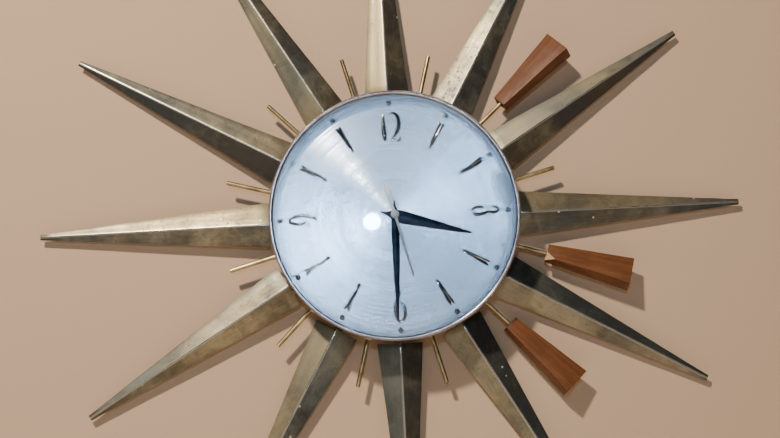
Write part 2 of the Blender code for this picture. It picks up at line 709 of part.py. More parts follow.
def make_dial():
    """The dial sheet with its riveted hour dots and batons."""
    back = DIAL_FACE - DIAL_SHEET
    dial = sheet("dial", [circle(DIAL_RADIUS, count=STEPS), circle(POST_RADIUS + GAP, count=16)],
                 back, DIAL_SHEET)
    sunk = DIAL_SHEET / 2
    markers = []
    for hour in range(1, HOURS + 1):
        shape = bmesh.new()
        at = Matrix.Translation((*polar(DOT_RING_RADIUS, 90.0 + clock_angle(hour)),
                                 DIAL_FACE + (DOT_HEIGHT - sunk) / 2))
        bmesh.ops.create_cone(
            shape, cap_ends=True, segments=10, radius1=DOT_RADIUS, radius2=DOT_RADIUS / 2,
            depth=DOT_HEIGHT + sunk, matrix=at)
        mesh = bpy.data.meshes.new(f"dot_{hour:02d}")
        shape.to_mesh(mesh)
        shape.free()
        markers.append(bpy.data.objects.new(f"dot_{hour:02d}", mesh))
    for hour in BATON_HOURS:
        markers.append(sheet(f"baton_{hour:02d}", [baton_outline(hour)],
                             DIAL_FACE - sunk, BATON_HEIGHT + sunk))
    combine(dial, markers, "UNION")
    place(dial, "dial_aluminium")


def make_nut():
    flats = circle(NUT_ACROSS_FLATS / 2 / cos(pi / 6), count=6)
    nut = flat("dial_nut", [flats, circle(POST_RADIUS + GAP, count=16)], DIAL_FACE + GAP, NUT_HEIGHT)
    place(nut, "wheel_brass", at=nut.location)


# ---------------------------------------------------------------- hands
def hand_outline(length, tail, width, widest_at, tip_width):
    """A long diamond along +y: narrow tail, widest just past the hub, blunt tip."""
    half = width / 2
    hub = half * HAND_HUB
    right = [(HAND_TAIL_TIP / 2, -tail), (hub, -hub * HAND_HUB_PLACE), (half, widest_at),
             (tip_width / 2, length)]
    return right + [(-x, y) for x, y in reversed(right)]


def make_hour_hand():
    outline = hand_outline(HOUR_HAND_LENGTH, HOUR_HAND_TAIL, HOUR_HAND_WIDTH,
                           HOUR_HAND_WIDEST, HOUR_HAND_TIP)
    hand = sheet("hour_hand", [outline, circle(HOUR_TUBE_RADIUS + GAP, count=12)],
                 HOUR_HAND_HEIGHT, HAND_SHEET)
    place(hand, "hand_steel", turn=-HOUR_HAND_ANGLE)


def make_minute_hand():
    outline = hand_outline(MINUTE_HAND_LENGTH, MINUTE_HAND_TAIL, MINUTE_HAND_WIDTH,
                           MINUTE_HAND_WIDEST, MINUTE_HAND_TIP)
    hand = sheet("minute_hand", [outline, circle(CANNON_RADIUS + GAP, count=12)],
                 MINUTE_HAND_HEIGHT, HAND_SHEET)
    place(hand, "hand_steel", turn=-MINUTE_HAND_ANGLE)


def make_second_hand():
    """A thin pointer with a leaf-shaped counterweight and a round cap over the arbor."""
    half = SECOND_HAND_WIDTH / 2
    bulb = SECOND_BULB_WIDTH / 2
    tail = SECOND_HAND_TAIL
    right = [(SECOND_HAND_TIP / 2, -tail), (bulb, -tail * SECOND_BULB_PLACE),
             (half, -tail * SECOND_STEM_PLACE), (half * SECOND_WAIST, 0.0),
             (SECOND_HAND_TIP / 2, SECOND_HAND_LENGTH)]
    outline = right + [(-x, y) for x, y in reversed(right)]
    hand = sheet("second_hand", [outline], SECOND_HAND_HEIGHT, HAND_SHEET)
    cap = cylinder("second_cap", SECOND_CAP_RADIUS, SECOND_HAND_HEIGHT - GAP,
                   SECOND_HAND_HEIGHT + SECOND_CAP_HEIGHT, sides=16)
    combine(hand, [cap], "UNION")
    place(hand, "second_white", turn=-SECOND_HAND_ANGLE)


# ---------------------------------------------------------------- toothed wheels
def tooth_tip(teeth, module):
    return module * teeth / 2 + TOOTH_TIP * module


def toothed(teeth, module, phase):
    """Outline with straight-sided teeth; phase is the direction in degrees of one tooth's middle."""
    pitch_radius = module * teeth / 2
    root = pitch_radius - TOOTH_ROOT * module
    tip = tooth_tip(teeth, module)
    step = 360.0 / teeth
    corners = []
    for number in range(teeth):
        middle = phase + number * step
        for radius, offset in ((root, -TOOTH_HALF_ROOT), (tip, -TOOTH_HALF_TIP),
                               (tip, TOOTH_HALF_TIP), (root, TOOTH_HALF_ROOT)):
            corners.append(polar(radius, middle + offset * step))
    return corners


def meshing_phase(driver_phase, driver_teeth, teeth, direction):
    """The phase of a wheel standing in this direction from its driver, with a gap at each tooth."""
    share = (direction - driver_phase) * driver_teeth / 360.0
    return direction + 180.0 - (0.5 - share) * 360.0 / teeth


def crossings(inner, outer, spokes, spoke_width):
    """The openings between a wheel's spokes."""
    loops = []
    for number in range(spokes):
        start, end = 360.0 * number / spokes, 360.0 * (number + 1) / spokes
        loop = []
        for radius, turns in ((outer, (0, 1, 2, 3)), (inner, (1, 0))):
            margin = 180 / pi * spoke_width / 2 / radius
            steps = max(turns)
            for turn in turns:
                loop.append(polar(radius, start + margin + (end - start - 2 * margin) * turn / steps))
        loops.append(loop)
    return loops


def wheel(name, teeth, module, phase, level, at, hub, bore=0.0):
    """A crossed wheel, or a plain one where it is small."""
    loops = [toothed(teeth, module, phase)]
    rim = module * teeth / 2 - WHEEL_RIM * module
    if rim > hub + WHEEL_LEAST_OPENING:
        loops += crossings(hub, rim, WHEEL_SPOKES, WHEEL_SPOKE_WIDTH)
    if bore:
        loops.append(circle(bore, count=12))
    return sheet(name, loops, level, WHEEL_SHEET, at)


def pinion(name, leaves, module, phase, back, front, at, bore=0.0):
    loops = [toothed(leaves, module, phase)]
    if bore:
        loops.append(circle(bore, count=12))
    return sheet(name, loops, back, front - back, at)


def tube(name, outer, bore, back, front):
    return turned(name, [(outer, front), (outer, back), (bore, back), (bore, front)], steps=12)


SECONDS_PHASE = 0.0
THIRD_PHASE = meshing_phase(SECONDS_PHASE, PINION_LEAVES, THIRD_TEETH, THIRD_DIRECTION)
CENTRE_PHASE = meshing_phase(THIRD_PHASE, PINION_LEAVES, CENTRE_TEETH, THIRD_DIRECTION + 180.0)
INDEX_PHASE = meshing_phase(SECONDS_PHASE, SECONDS_TEETH, PINION_LEAVES, INDEX_DIRECTION)
CANNON_PHASE = 0.0
MINUTE_PHASE = meshing_phase(CANNON_PHASE, CANNON_LEAVES, MINUTE_TEETH, MINUTE_DIRECTION)
HOUR_PHASE = meshing_phase(MINUTE_PHASE, MINUTE_LEAVES, HOUR_TEETH, MINUTE_DIRECTION + 180.0)
SETTING_PHASE = meshing_phase(MINUTE_PHASE, MINUTE_TEETH, SETTING_LEAVES, SETTING_DIRECTION)
ARBOR_BACK = BACK_PLATE + GAP
ARBOR_FRONT = FRONT_PLATE_TOP - GAP


def train_arbor(name, at, back=ARBOR_BACK):
    return cylinder(f"{name}_arbor", ARBOR_RADIUS, back, ARBOR_FRONT, at)


def make_seconds_wheel():
    """Seconds wheel, its pinion, and the arbor that runs forward to the second hand."""
    body = wheel("seconds_wheel", SECONDS_TEETH, TRAIN_MODULE, SECONDS_PHASE, SECONDS_LEVEL, CENTRE,
                 WHEEL_HUB)
    leaves = pinion("seconds_pinion", PINION_LEAVES, TRAIN_MODULE, SECONDS_PHASE,
                    THIRD_LEVEL - LEAF_OVERLAP, THIRD_LEVEL + WHEEL_SHEET + LEAF_OVERLAP, CENTRE)
    arbor = cylinder("seconds_arbor", SECONDS_ARBOR_RADIUS, BACK_PLATE_TOP + GAP,
                     SECOND_HAND_HEIGHT - 2 * GAP)
    pivot = cylinder("seconds_pivot", ARBOR_RADIUS, ARBOR_BACK, BACK_PLATE_TOP + 2 * GAP)
    combine(body, [leaves, arbor, pivot], "UNION")
    place(body, "wheel_brass")


def make_third_wheel():
    body = wheel("third_wheel", THIRD_TEETH, TRAIN_MODULE, THIRD_PHASE, THIRD_LEVEL, THIRD, WHEEL_HUB)
    leaves = pinion("third_pinion", PINION_LEAVES, CENTRE_MODULE, THIRD_PHASE,
                    CENTRE_LEVEL - LEAF_OVERLAP, CENTRE_LEVEL + WHEEL_SHEET + LEAF_OVERLAP, THIRD)
    leaves.location = (*THIRD, 0.0)
    combine(body, [leaves, train_arbor("third", THIRD)], "UNION")
    place(body, "wheel_brass", at=(*THIRD, 0.0))


def make_centre_wheel():
    """Centre wheel and cannon pinion on the tube that carries the minute hand."""
    body = wheel("centre_wheel", CENTRE_TEETH, CENTRE_MODULE, CENTRE_PHASE, CENTRE_LEVEL, CENTRE,
                 WHEEL_HUB_ON_TUBE, CANNON_BORE)
    cannon = tube("cannon_tube", CANNON_RADIUS, CANNON_BORE, CENTRE_LEVEL + WHEEL_SHEET / 2,
                  MINUTE_HAND_HEIGHT + HAND_SHEET + GAP)
    leaves = pinion("cannon_pinion", CANNON_LEAVES, MOTION_MODULE, CANNON_PHASE, CANNON_LEVEL,
                    MINUTE_LEVEL + WHEEL_SHEET + GAP, CENTRE, CANNON_RADIUS - TUBE_WALL / 2)
    combine(body, [cannon, leaves], "UNION")
    place(body, "wheel_brass")


def make_minute_wheel():
    """The motion work's wheel and pinion, between the cannon pinion and the hour wheel."""
    body = wheel("minute_wheel", MINUTE_TEETH, MOTION_MODULE, MINUTE_PHASE, MINUTE_LEVEL, MINUTE,
                 WHEEL_HUB)
    leaves = pinion("minute_pinion", MINUTE_LEAVES, HOUR_MODULE, MINUTE_PHASE,
                    MINUTE_LEVEL + WHEEL_SHEET / 2, HOUR_LEVEL + WHEEL_SHEET + GAP, MINUTE)
    leaves.location = (*MINUTE, 0.0)
    stub = cylinder("minute_stub", ARBOR_RADIUS, FRONT_PLATE + GAP, HOUR_LEVEL + WHEEL_SHEET + 2 * GAP,
                    MINUTE)
    combine(body, [leaves, stub], "UNION")
    place(body, "wheel_brass", at=(*MINUTE, 0.0))


def make_hour_wheel():
    body = wheel("hour_wheel", HOUR_TEETH, HOUR_MODULE, HOUR_PHASE, HOUR_LEVEL, CENTRE,
                 HOUR_TUBE_RADIUS + TUBE_HUB, HOUR_BORE)
    barrel = tube("hour_tube", HOUR_TUBE_RADIUS, HOUR_BORE, HOUR_LEVEL + WHEEL_SHEET / 2,
                  HOUR_HAND_HEIGHT + HAND_SHEET + GAP)
    combine(body, [barrel], "UNION")
    place(body, "wheel_brass")


def make_index_wheel():
    """The fine-toothed wheel that the lever steps on, and its pinion that drives the seconds wheel."""
    body = wheel("index_wheel", INDEX_TEETH, INDEX_MODULE, 0.0, INDEX_LEVEL, INDEX, WHEEL_HUB)
    leaves = pinion("index_pinion", PINION_LEAVES, TRAIN_MODULE, INDEX_PHASE,
                    SECONDS_LEVEL - LEAF_OVERLAP, SECONDS_LEVEL + WHEEL_SHEET + LEAF_OVERLAP, INDEX)
    leaves.location = (*INDEX, 0.0)
    combine(body, [leaves, train_arbor("index", INDEX)], "UNION")
    place(body, "wheel_brass", at=(*INDEX, 0.0))


def make_setting_knob():
    """The knob behind the movement, on the arbor whose pinion turns the motion work."""
    body = sheet("setting_knob", [circle(KNOB_RADIUS, count=16)], KNOB_WALL_GAP, KNOB_HEIGHT, SETTING)
    leaves = pinion("setting_pinion", SETTING_LEAVES, MOTION_MODULE, SETTING_PHASE, CANNON_LEVEL,
                    MINUTE_LEVEL + WHEEL_SHEET + GAP, SETTING)
    leaves.location = (*SETTING, 0.0)
    arbor = cylinder("setting_arbor", SECONDS_ARBOR_RADIUS, KNOB_WALL_GAP + KNOB_HEIGHT / 2,
                     MINUTE_LEVEL + WHEEL_SHEET, SETTING)
    combine(body, [leaves, arbor], "UNION")
    place(body, "moulding", at=(*SETTING, 0.0))


# ---------------------------------------------------------------- balance, lever and coil
def make_balance():
    """Two-armed balance with its staff and roller."""
    rim = BALANCE_RADIUS - BALANCE_RIM
    loops = [circle(BALANCE_RADIUS, count=32)] + crossings(BALANCE_HUB, rim, 2, BALANCE_ARM_WIDTH)
    body = sheet("balance_wheel", loops, BALANCE_LEVEL, BALANCE_SHEET, BALANCE)
    roller = cylinder("balance_roller", ROLLER_RADIUS, INDEX_LEVEL, INDEX_LEVEL + WHEEL_SHEET, BALANCE)
    combine(body, [roller, train_arbor("balance", BALANCE)], "UNION")
    place(body, "wheel_brass", at=(*BALANCE, 0.0), turn=ESCAPEMENT_DIRECTION)


def make_hairspring():
    """A flat spiral of blued wire round the staff, four turns from collet to outer end."""
    curve = bpy.data.curves.new("hairspring", "CURVE")
    curve.dimensions = "3D"
    curve.bevel_depth = HAIRSPRING_WIRE
    curve.bevel_resolution = 0
    curve.use_fill_caps = True
    count = round(HAIRSPRING_TURNS * 360.0 / HAIRSPRING_STEP) + 1
    spline = curve.splines.new("POLY")
    spline.points.add(count - 1)
    for number, point in enumerate(spline.points):
        share = number / (count - 1)
        radius = HAIRSPRING_INNER + share * (HAIRSPRING_OUTER - HAIRSPRING_INNER)
        x, y = polar(radius, HAIRSPRING_STEP * number)
        point.co = (x, y, HAIRSPRING_LEVEL, 1.0)
    spring = bpy.data.objects.new("hairspring", curve)
    place(spring, "spring_blue", at=(*BALANCE, 0.0))


def make_lever():
    """The index lever: two pallet arms towards the index wheel and a fork towards the balance."""
    fork = BALANCE_FROM_LEVER - ROLLER_RADIUS - FORK_CLEARANCE
    upper = [
        (fork - FORK_DEPTH, 0.0), (fork, FORK_MOUTH), (fork, FORK_SPREAD),
        (fork - FORK_NECK, LEVER_HALF_WIDTH), (LEVER_SHOULDER, LEVER_HALF_WIDTH),
        (-PALLET_ROOT[0], PALLET_ROOT[1]), (-PALLET_BACK, PALLET_REACH),
        (-PALLET_TIP[0], PALLET_TIP[1]), (-PALLET_BACK, 0.0)]
    lower = [(x, -y) for x, y in upper[-2:0:-1]]
    body = sheet("index_lever", [(upper + lower)[::-1]], INDEX_LEVEL, WHEEL_SHEET, LEVER)
    # the arbor stops short of the balance, whose rim swings past behind it
    combine(body, [train_arbor("lever", LEVER, INDEX_LEVEL - LEAF_OVERLAP)], "UNION")
    place(body, "plated_steel", at=(*LEVER, 0.0), turn=ESCAPEMENT_DIRECTION)


def make_coil():
    back = BALANCE_LEVEL + BALANCE_SHEET + 2 * GAP
    coil = turned("drive_coil", [
        (COIL_OUTER, back + COIL_HEIGHT), (COIL_OUTER, back), (COIL_INNER, back),
        (COIL_INNER, back + COIL_HEIGHT)], steps=16)
    place(coil, "copper", at=(*COIL, 0.0), smooth=True)


def make_regulator():
    """The rate lever on the back plate, with a peg that shows through the cover's slot."""
    ring = circle(REGULATOR_RING, count=12)
    body = sheet("regulator", [ring, circle(PIVOT_HOLE + GAP, count=10)], REGULATOR_BACK,
                 REGULATOR_SHEET, BALANCE)
    bar = rectangle(-REGULATOR_HALF_WIDTH, REGULATOR_ARM_START,
                    REGULATOR_HALF_WIDTH, REGULATOR_LENGTH + REGULATOR_HALF_WIDTH)
    arm = sheet("regulator_arm", [bar], REGULATOR_BACK, REGULATOR_SHEET, BALANCE)
    arm.location = (*BALANCE, 0.0)
    peg = cylinder("regulator_peg", REGULATOR_PEG, COVER_BACK - REGULATOR_PEG_STANDOFF,
                   REGULATOR_BACK + REGULATOR_SHEET / 2,
                   (BALANCE[0], BALANCE[1] + REGULATOR_LENGTH), 8)
    combine(body, [arm, peg], "UNION")
    place(body, "plated_steel", at=(*BALANCE, 0.0))


def make_board():
    """The small circuit board with its transistor and capacitor, beside the coil."""
    x, y = BOARD_CORNER
    width, height, sheet_depth = BOARD_SIZE
    front = BALANCE_LEVEL + sheet_depth
    board = block("circuit_board", (x, y, BALANCE_LEVEL), (x + width, y + height, front))
    can = cylinder("transistor", TRANSISTOR_RADIUS, front - COMPONENT_SINK, front + TRANSISTOR_HEIGHT,
                   TRANSISTOR_AT, 12)
    x, y = CAPACITOR_CORNER
    width, height, depth = CAPACITOR_SIZE
    capacitor = block("capacitor", (x, y, front - COMPONENT_SINK), (x + width, y + height, front + depth))
    combine(board, [can, capacitor], "UNION")
    place(board, "board")


# ---------------------------------------------------------------- movement frame and covers
def plate_outline():
    return rectangle(MOVEMENT_LEFT + PLATE_INSET, MOVEMENT_BOTTOM + PLATE_INSET,
                     MOVEMENT_RIGHT - PLATE_INSET, MOVEMENT_TOP - PLATE_INSET)


def pivot_holes():
    return [circle(PIVOT_HOLE, at, 10) for at in (THIRD, INDEX, BALANCE)]


def make_back_plate():
    """The back plate with its three riveted pillars."""
    holes = pivot_holes() + [circle(PIVOT_HOLE, CENTRE, 10),
                             circle(SECONDS_ARBOR_RADIUS + ARBOR_CLEARANCE, SETTING, 10)]
    plate = sheet("back_plate", [plate_outline()] + holes, BACK_PLATE, PLATE_SHEET)
    inset = PILLAR_RADIUS + PILLAR_INSET
    corners = plate_outline()
    pillars = []
    for number, (across, up) in enumerate(((1, 1), (-1, 1), (-1, -1), (1, -1))):
        if number == 2:
            continue
        at = (corners[number][0] + across * inset, corners[number][1] + up * inset)
        pillars.append(cylinder(f"pillar_{number}", PILLAR_RADIUS, BACK_PLATE + PLATE_SHEET / 2,
                                FRONT_PLATE - GAP, at))
    combine(plate, pillars, "UNION")
    place(plate, "plated_steel")


def make_front_plate():
    holes = pivot_holes() + [
        circle(PIVOT_HOLE, LEVER, 10),
        circle(CANNON_RADIUS + ARBOR_CLEARANCE, CENTRE, 12),
        circle(PIVOT_HOLE, MINUTE, 10),
        circle(SECONDS_ARBOR_RADIUS + ARBOR_CLEARANCE, SETTING, 10)]
    plate = flat("front_plate", [plate_outline()] + holes, FRONT_PLATE, PLATE_SHEET)
    place(plate, "plated_steel", at=plate.location)


def make_front_cover():
    """The cover before the motion work, with the threaded post that clamps pan and dial."""
    outline = rectangle(MOVEMENT_LEFT, MOVEMENT_BOTTOM, MOVEMENT_RIGHT, MOVEMENT_TOP)
    middle = (POST_BORE + POST_RADIUS) / 2
    cover = sheet("front_cover", [outline, circle(middle, count=16)], FRONT_COVER, FRONT_COVER_SHEET)
    post = turned("post", [(POST_RADIUS, POST_TOP), (POST_RADIUS, FRONT_COVER), (POST_BORE, FRONT_COVER),
                           (POST_BORE, POST_TOP)], steps=16)
    combine(cover, [post], "UNION")
    place(cover, "plated_steel")


def make_rear_cover():
    """The moulded dust cover, open to the front, with holes for the knob's arbor and the regulator."""
    rim = FRONT_COVER - GAP
    cover = block("rear_cover", (MOVEMENT_LEFT, MOVEMENT_BOTTOM, COVER_BACK),
                  (MOVEMENT_RIGHT, MOVEMENT_TOP, rim))
    hollow = block("cover_hollow",
                   (MOVEMENT_LEFT + COVER_WALL, MOVEMENT_BOTTOM + COVER_WALL, COVER_FLOOR),
                   (MOVEMENT_RIGHT - COVER_WALL, MOVEMENT_TOP - COVER_WALL, rim + COVER_WALL))
    arbor_hole = cylinder("arbor_hole", SECONDS_ARBOR_RADIUS + ARBOR_CLEARANCE,
                          COVER_BACK - COVER_WALL, COVER_FLOOR + COVER_WALL, SETTING)
    swing = REGULATOR_LENGTH * sin(radians(REGULATOR_SWING)) + REGULATOR_SLOT_ROOM
    sag = REGULATOR_LENGTH * (1 - cos(radians(REGULATOR_SWING)))
    peg_y = BALANCE[1] + REGULATOR_LENGTH
    slot = block("regulator_slot",
                 (BALANCE[0] - swing, peg_y - sag - REGULATOR_SLOT_ROOM, COVER_BACK - COVER_WALL),
                 (BALANCE[0] + swing, peg_y + REGULATOR_SLOT_ROOM, COVER_FLOOR + COVER_WALL))
    boss = cylinder("strap_boss", STRAP_BOSS_RADIUS, STRAP_SHEET + GAP, COVER_BACK + COVER_WALL / 2,
                    (0.0, -STRAP_BELOW_AXIS / 2))
    combine(cover, [hollow, arbor_hole, slot], "DIFFERENCE")
    combine(cover, [boss], "UNION")
    place(cover, "moulding")


def cell_centre():
    """Middle of the cell: under the movement, centred on it, as far back as the cover."""
    across = (MOVEMENT_LEFT + MOVEMENT_RIGHT) / 2
    down = MOVEMENT_BOTTOM - GAP - HOLDER_WALL - CELL_CLEARANCE - CELL_RADIUS
    return across, down, COVER_BACK + CELL_RADIUS + CELL_CLEARANCE


def make_battery_holder():
    """A tray open to the back that holds the cell on its side."""
    across, down, height = cell_centre()
    half = CELL_LENGTH / 2 + CONTACT_ROOM
    reach = CELL_RADIUS + CELL_CLEARANCE
    holder = block("battery_holder",
                   (across - half - HOLDER_WALL, down - reach - HOLDER_WALL, COVER_BACK),
                   (across + half + HOLDER_WALL, down + reach + HOLDER_WALL, height + reach + HOLDER_WALL))
    bay = block("battery_bay", (across - half, down - reach, COVER_BACK - HOLDER_WALL),
                (across + half, down + reach, height + reach))
    combine(holder, [bay], "DIFFERENCE")
    place(holder, "moulding")


def make_cell():
    """A plain C cell with its raised positive cap to the left."""
    across, down, height = cell_centre()
    half = CELL_LENGTH / 2
    cap = half - CELL_CAP_HEIGHT
    cell = turned("battery_cell", [
        (0.0, half), (CELL_CAP_RADIUS, half), (CELL_CAP_RADIUS, cap), (CELL_RADIUS, cap),
        (CELL_RADIUS, -half), (0.0, -half)], steps=24, closed=False)
    place(cell, "cell_wrap", at=(across, down, height))
    cell.rotation_euler = (0.0, -pi / 2, 0.0)


def make_contacts():
    """Two bent phosphor-bronze strips, one at each end of the cell."""
    across, down, height = cell_centre()
    half = CELL_LENGTH / 2
    for name, side in (("contact_positive", -1), ("contact_negative", 1)):
        wall = side * (half + CONTACT_ROOM - GAP)
        cell_end = side * (half + 2 * GAP)
        step = -side * CONTACT_SHEET
        outline = [
            (wall, -CONTACT_HALF_HEIGHT), (wall, CONTACT_HALF_HEIGHT),
            (wall + step, CONTACT_HALF_HEIGHT), (cell_end - step, CONTACT_NOSE),
            (cell_end, CONTACT_NOSE), (cell_end, -CONTACT_NOSE),
            (cell_end - step, -CONTACT_NOSE), (wall + step, -CONTACT_HALF_HEIGHT)]
        spring = flat(name, [outline], height - CONTACT_WIDTH / 2, CONTACT_WIDTH)
        place(spring, "plated_steel", at=(across, down, height))


# ---------------------------------------------------------------- hanger and bumpers
def keyhole_outline():
    """Round head below, narrow slot above, as one loop."""
    neck = 180 / pi * atan2(KEYHOLE_SLOT_RADIUS, KEYHOLE_HEAD_RADIUS)
    head = [polar(KEYHOLE_HEAD_RADIUS, 90 + neck + step * (360 - 2 * neck) / 10, (0.0, KEYHOLE_HEIGHT))
            for step in range(11)]
    top = (0.0, KEYHOLE_HEIGHT + KEYHOLE_SLOT_LENGTH)
    slot = [polar(KEYHOLE_SLOT_RADIUS, step * 45, top) for step in range(5)]
    return head + slot


def make_strap():
    """The hanger strap from the pan's flange down to the movement, with a keyhole for the nail."""
    top = PAN_RADIUS - GAP
    half = STRAP_WIDTH / 2
    strap = flat("hanger_strap", [rectangle(-half, -STRAP_BELOW_AXIS, half, top), keyhole_outline()],
                 0.0, STRAP_SHEET)
    place(strap, "plated_steel", at=strap.location)


def make_bumpers():
    middle = PAN_RADIUS - PAN_FLANGE / 2
    for name, hour in zip(("bumper_right", "bumper_left"), BUMPER_HOURS):
        at = polar(middle, 90.0 + clock_angle(hour))
        bumper = cylinder(name, BUMPER_RADIUS, 0.0, FLANGE_TOP - PAN_SHEET - GAP, at, 16)
        place(bumper, "rubber", at=bumper.location, smooth=True)


make_rays()
make_rods()
for paddle_hour in PADDLE_HOURS:
    make_paddle(paddle_hour)
make_pan()
make_bezel()
make_glass()
make_dial()
make_nut()
make_hour_hand()
make_minute_hand()
make_second_hand()
make_seconds_wheel()
make_third_wheel()
make_centre_wheel()
make_minute_wheel()
make_hour_wheel()
make_index_wheel()
make_setting_knob()
make_balance()
make_hairspring()
make_lever()
make_coil()
make_regulator()
make_board()
make_back_plate()
make_front_plate()
make_front_cover()
make_rear_cover()
make_battery_holder()
make_cell()
make_contacts()
make_strap()
make_bumpers()
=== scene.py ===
import json
from math import atan2, cos, hypot, pi, radians, sin, sqrt, tau

import bmesh
import bpy
from mathutils import Matrix, Vector


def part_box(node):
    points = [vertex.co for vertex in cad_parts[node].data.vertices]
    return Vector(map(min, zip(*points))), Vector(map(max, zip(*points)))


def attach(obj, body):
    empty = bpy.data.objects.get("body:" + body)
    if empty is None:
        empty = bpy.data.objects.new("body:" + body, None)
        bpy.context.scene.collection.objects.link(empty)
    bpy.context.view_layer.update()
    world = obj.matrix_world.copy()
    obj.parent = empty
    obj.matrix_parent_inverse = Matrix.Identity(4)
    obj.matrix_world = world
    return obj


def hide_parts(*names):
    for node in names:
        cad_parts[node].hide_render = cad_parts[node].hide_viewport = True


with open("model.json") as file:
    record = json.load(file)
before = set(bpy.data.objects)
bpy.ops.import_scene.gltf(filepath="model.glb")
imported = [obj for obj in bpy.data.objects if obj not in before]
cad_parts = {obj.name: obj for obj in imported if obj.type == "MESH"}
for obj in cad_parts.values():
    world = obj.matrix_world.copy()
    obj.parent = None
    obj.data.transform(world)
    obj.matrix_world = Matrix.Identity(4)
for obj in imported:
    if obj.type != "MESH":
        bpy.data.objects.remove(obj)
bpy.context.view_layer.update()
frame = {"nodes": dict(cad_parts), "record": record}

bpy.ops.object.select_all(action="DESELECT")

# Pieces are drawn lying on their back: x to 3 o'clock, y to 12, z out of the wall. This hangs them.
ON_WALL = Matrix.Rotation(radians(90), 4, "X")
WELD = 0.00001
AXIS = 0.000001  # radius of a ring that closes on the turning axis
AIR = 0.0003
MM = 0.001


def depths(node):
    """How far out of the wall a CAD node starts and ends."""
    low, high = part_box(node)
    return -high.y, -low.y


def reach(node):
    """Radius of a round CAD node that is centred on the hands."""
    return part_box(node)[1].x


def middle(node):
    """Centre of a CAD node as drawn: x, y."""
    low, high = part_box(node)
    return (low.x + high.x) / 2, (low.z + high.z) / 2


# ------------------------------------------------------------------------------ workshop
def only(piece):
    """Makes this the one selected and active piece."""
    bpy.ops.object.select_all(action="DESELECT")
    piece.select_set(True)
    bpy.context.view_layer.objects.active = piece


def link(name, data):
    """Puts new object data into the scene."""
    piece = bpy.data.objects.new(name, data)
    bpy.context.collection.objects.link(piece)
    return piece


def converted(name, curve):
    """The mesh of a curve."""
    only(link(name, curve))
    bpy.ops.object.convert(target="MESH")
    return bpy.context.object


def start(name, primitive, **size):
    """Adds a primitive at its size and place, selects nothing else and opens it."""
    bpy.ops.object.select_all(action="DESELECT")
    primitive(**size)
    piece = bpy.context.object
    piece.name = piece.data.name = name
    bpy.ops.object.transform_apply(location=True, rotation=True, scale=True)
    bpy.ops.object.mode_set(mode="EDIT")
    bpy.ops.mesh.select_mode(type="VERT")
    bpy.ops.mesh.select_all(action="SELECT")
    return piece


def block(name, size, middle_point):
    """A box, left open for more work."""
    piece = start(name, bpy.ops.mesh.primitive_cube_add, size=1.0)
    scale(*size)
    move(*middle_point)
    return piece


def reopen(piece):
    only(piece)
    bpy.ops.object.mode_set(mode="EDIT")
    bpy.ops.mesh.select_mode(type="VERT")


def close():
    bpy.ops.object.mode_set(mode="OBJECT")


def pick(kind, test):
    """Selects what passes the test on its middle and its direction; kind is VERT, EDGE or FACE."""
    bpy.ops.mesh.select_mode(type=kind)
    bpy.ops.mesh.select_all(action="DESELECT")
    mesh = bpy.context.object.data
    shape = bmesh.from_edit_mesh(mesh)
    if kind == "VERT":
        found = [v for v in shape.verts if test(v.co, v.normal)]
    elif kind == "EDGE":
        found = [e for e in shape.edges
                 if test((e.verts[0].co + e.verts[1].co) / 2, (e.verts[1].co - e.verts[0].co).normalized())]
    else:
        found = [f for f in shape.faces if test(f.calc_center_median(), f.normal)]
    for element in found:
        element.select_set(True)
    shape.select_flush_mode()
    bmesh.update_edit_mesh(mesh)
    return len(found)


def move(x=0.0, y=0.0, z=0.0):
    bpy.ops.transform.translate(value=(x, y, z))


def scale(x=1.0, y=1.0, z=1.0, about=(0.0, 0.0, 0.0)):
    bpy.ops.transform.resize(value=(x, y, z), center_override=about)


def extrude(x=0.0, y=0.0, z=0.0):
    bpy.ops.mesh.extrude_region_move(TRANSFORM_OT_translate={"value": (x, y, z)})


def bevel(width, segments=2, affect="EDGES"):
    bpy.ops.mesh.bevel(offset=width, segments=segments, affect=affect)


def cut(place, normal, fill=False, drop=False):
    """Bisects the whole piece; drop removes the side that the normal points to."""
    bpy.ops.mesh.select_all(action="SELECT")
    bpy.ops.mesh.bisect(plane_co=place, plane_no=normal, use_fill=fill, clear_outer=drop)


def modify(piece, kind, **settings):
    """Adds a modifier and applies it."""
    modifier = piece.modifiers.new(kind.lower(), kind)
    for key, value in settings.items():
        setattr(modifier, key, value)
    bpy.context.view_layer.objects.active = piece
    bpy.ops.object.modifier_apply(modifier=modifier.name)


def soften(piece, width, segments=2, angle=35.0):
    """Rounds every edge sharper than the angle."""
    modify(piece, "BEVEL", width=width, segments=segments, limit_method="ANGLE",
           angle_limit=radians(angle), harden_normals=False)


def repair(piece):
    reopen(piece)
    bpy.ops.mesh.select_all(action="SELECT")
    bpy.ops.mesh.remove_doubles(threshold=WELD)
    bpy.ops.mesh.normals_make_consistent(inside=False)
    close()


def carve(piece, *tools, operation="DIFFERENCE"):
    """Cuts the tools out of a piece and throws them away."""
    for tool in tools:
        modify(piece, "BOOLEAN", object=tool, operation=operation, solver="EXACT")
        bpy.data.objects.remove(tool)


def near(radius, height, *steps):
    """Profile points, each so many millimetres out and up from this corner."""
    return [(radius + out * MM, height + up * MM) for out, up in steps]


def turned(name, profile, sides=96, at=(0.0, 0.0)):
    """A turned piece: one ring, extruded through the (radius, height) points of its profile."""
    radius, height = profile[0]
    piece = start(name, bpy.ops.mesh.primitive_circle_add, vertices=sides, radius=radius,
                  location=(*at, height))
    for next_radius, next_height in profile[1:]:
        extrude(z=next_height - height)
        ratio = next_radius / radius
        scale(ratio, ratio, about=(*at, next_height))
        radius, height = next_radius, next_height
    close()
    repair(piece)
    return piece


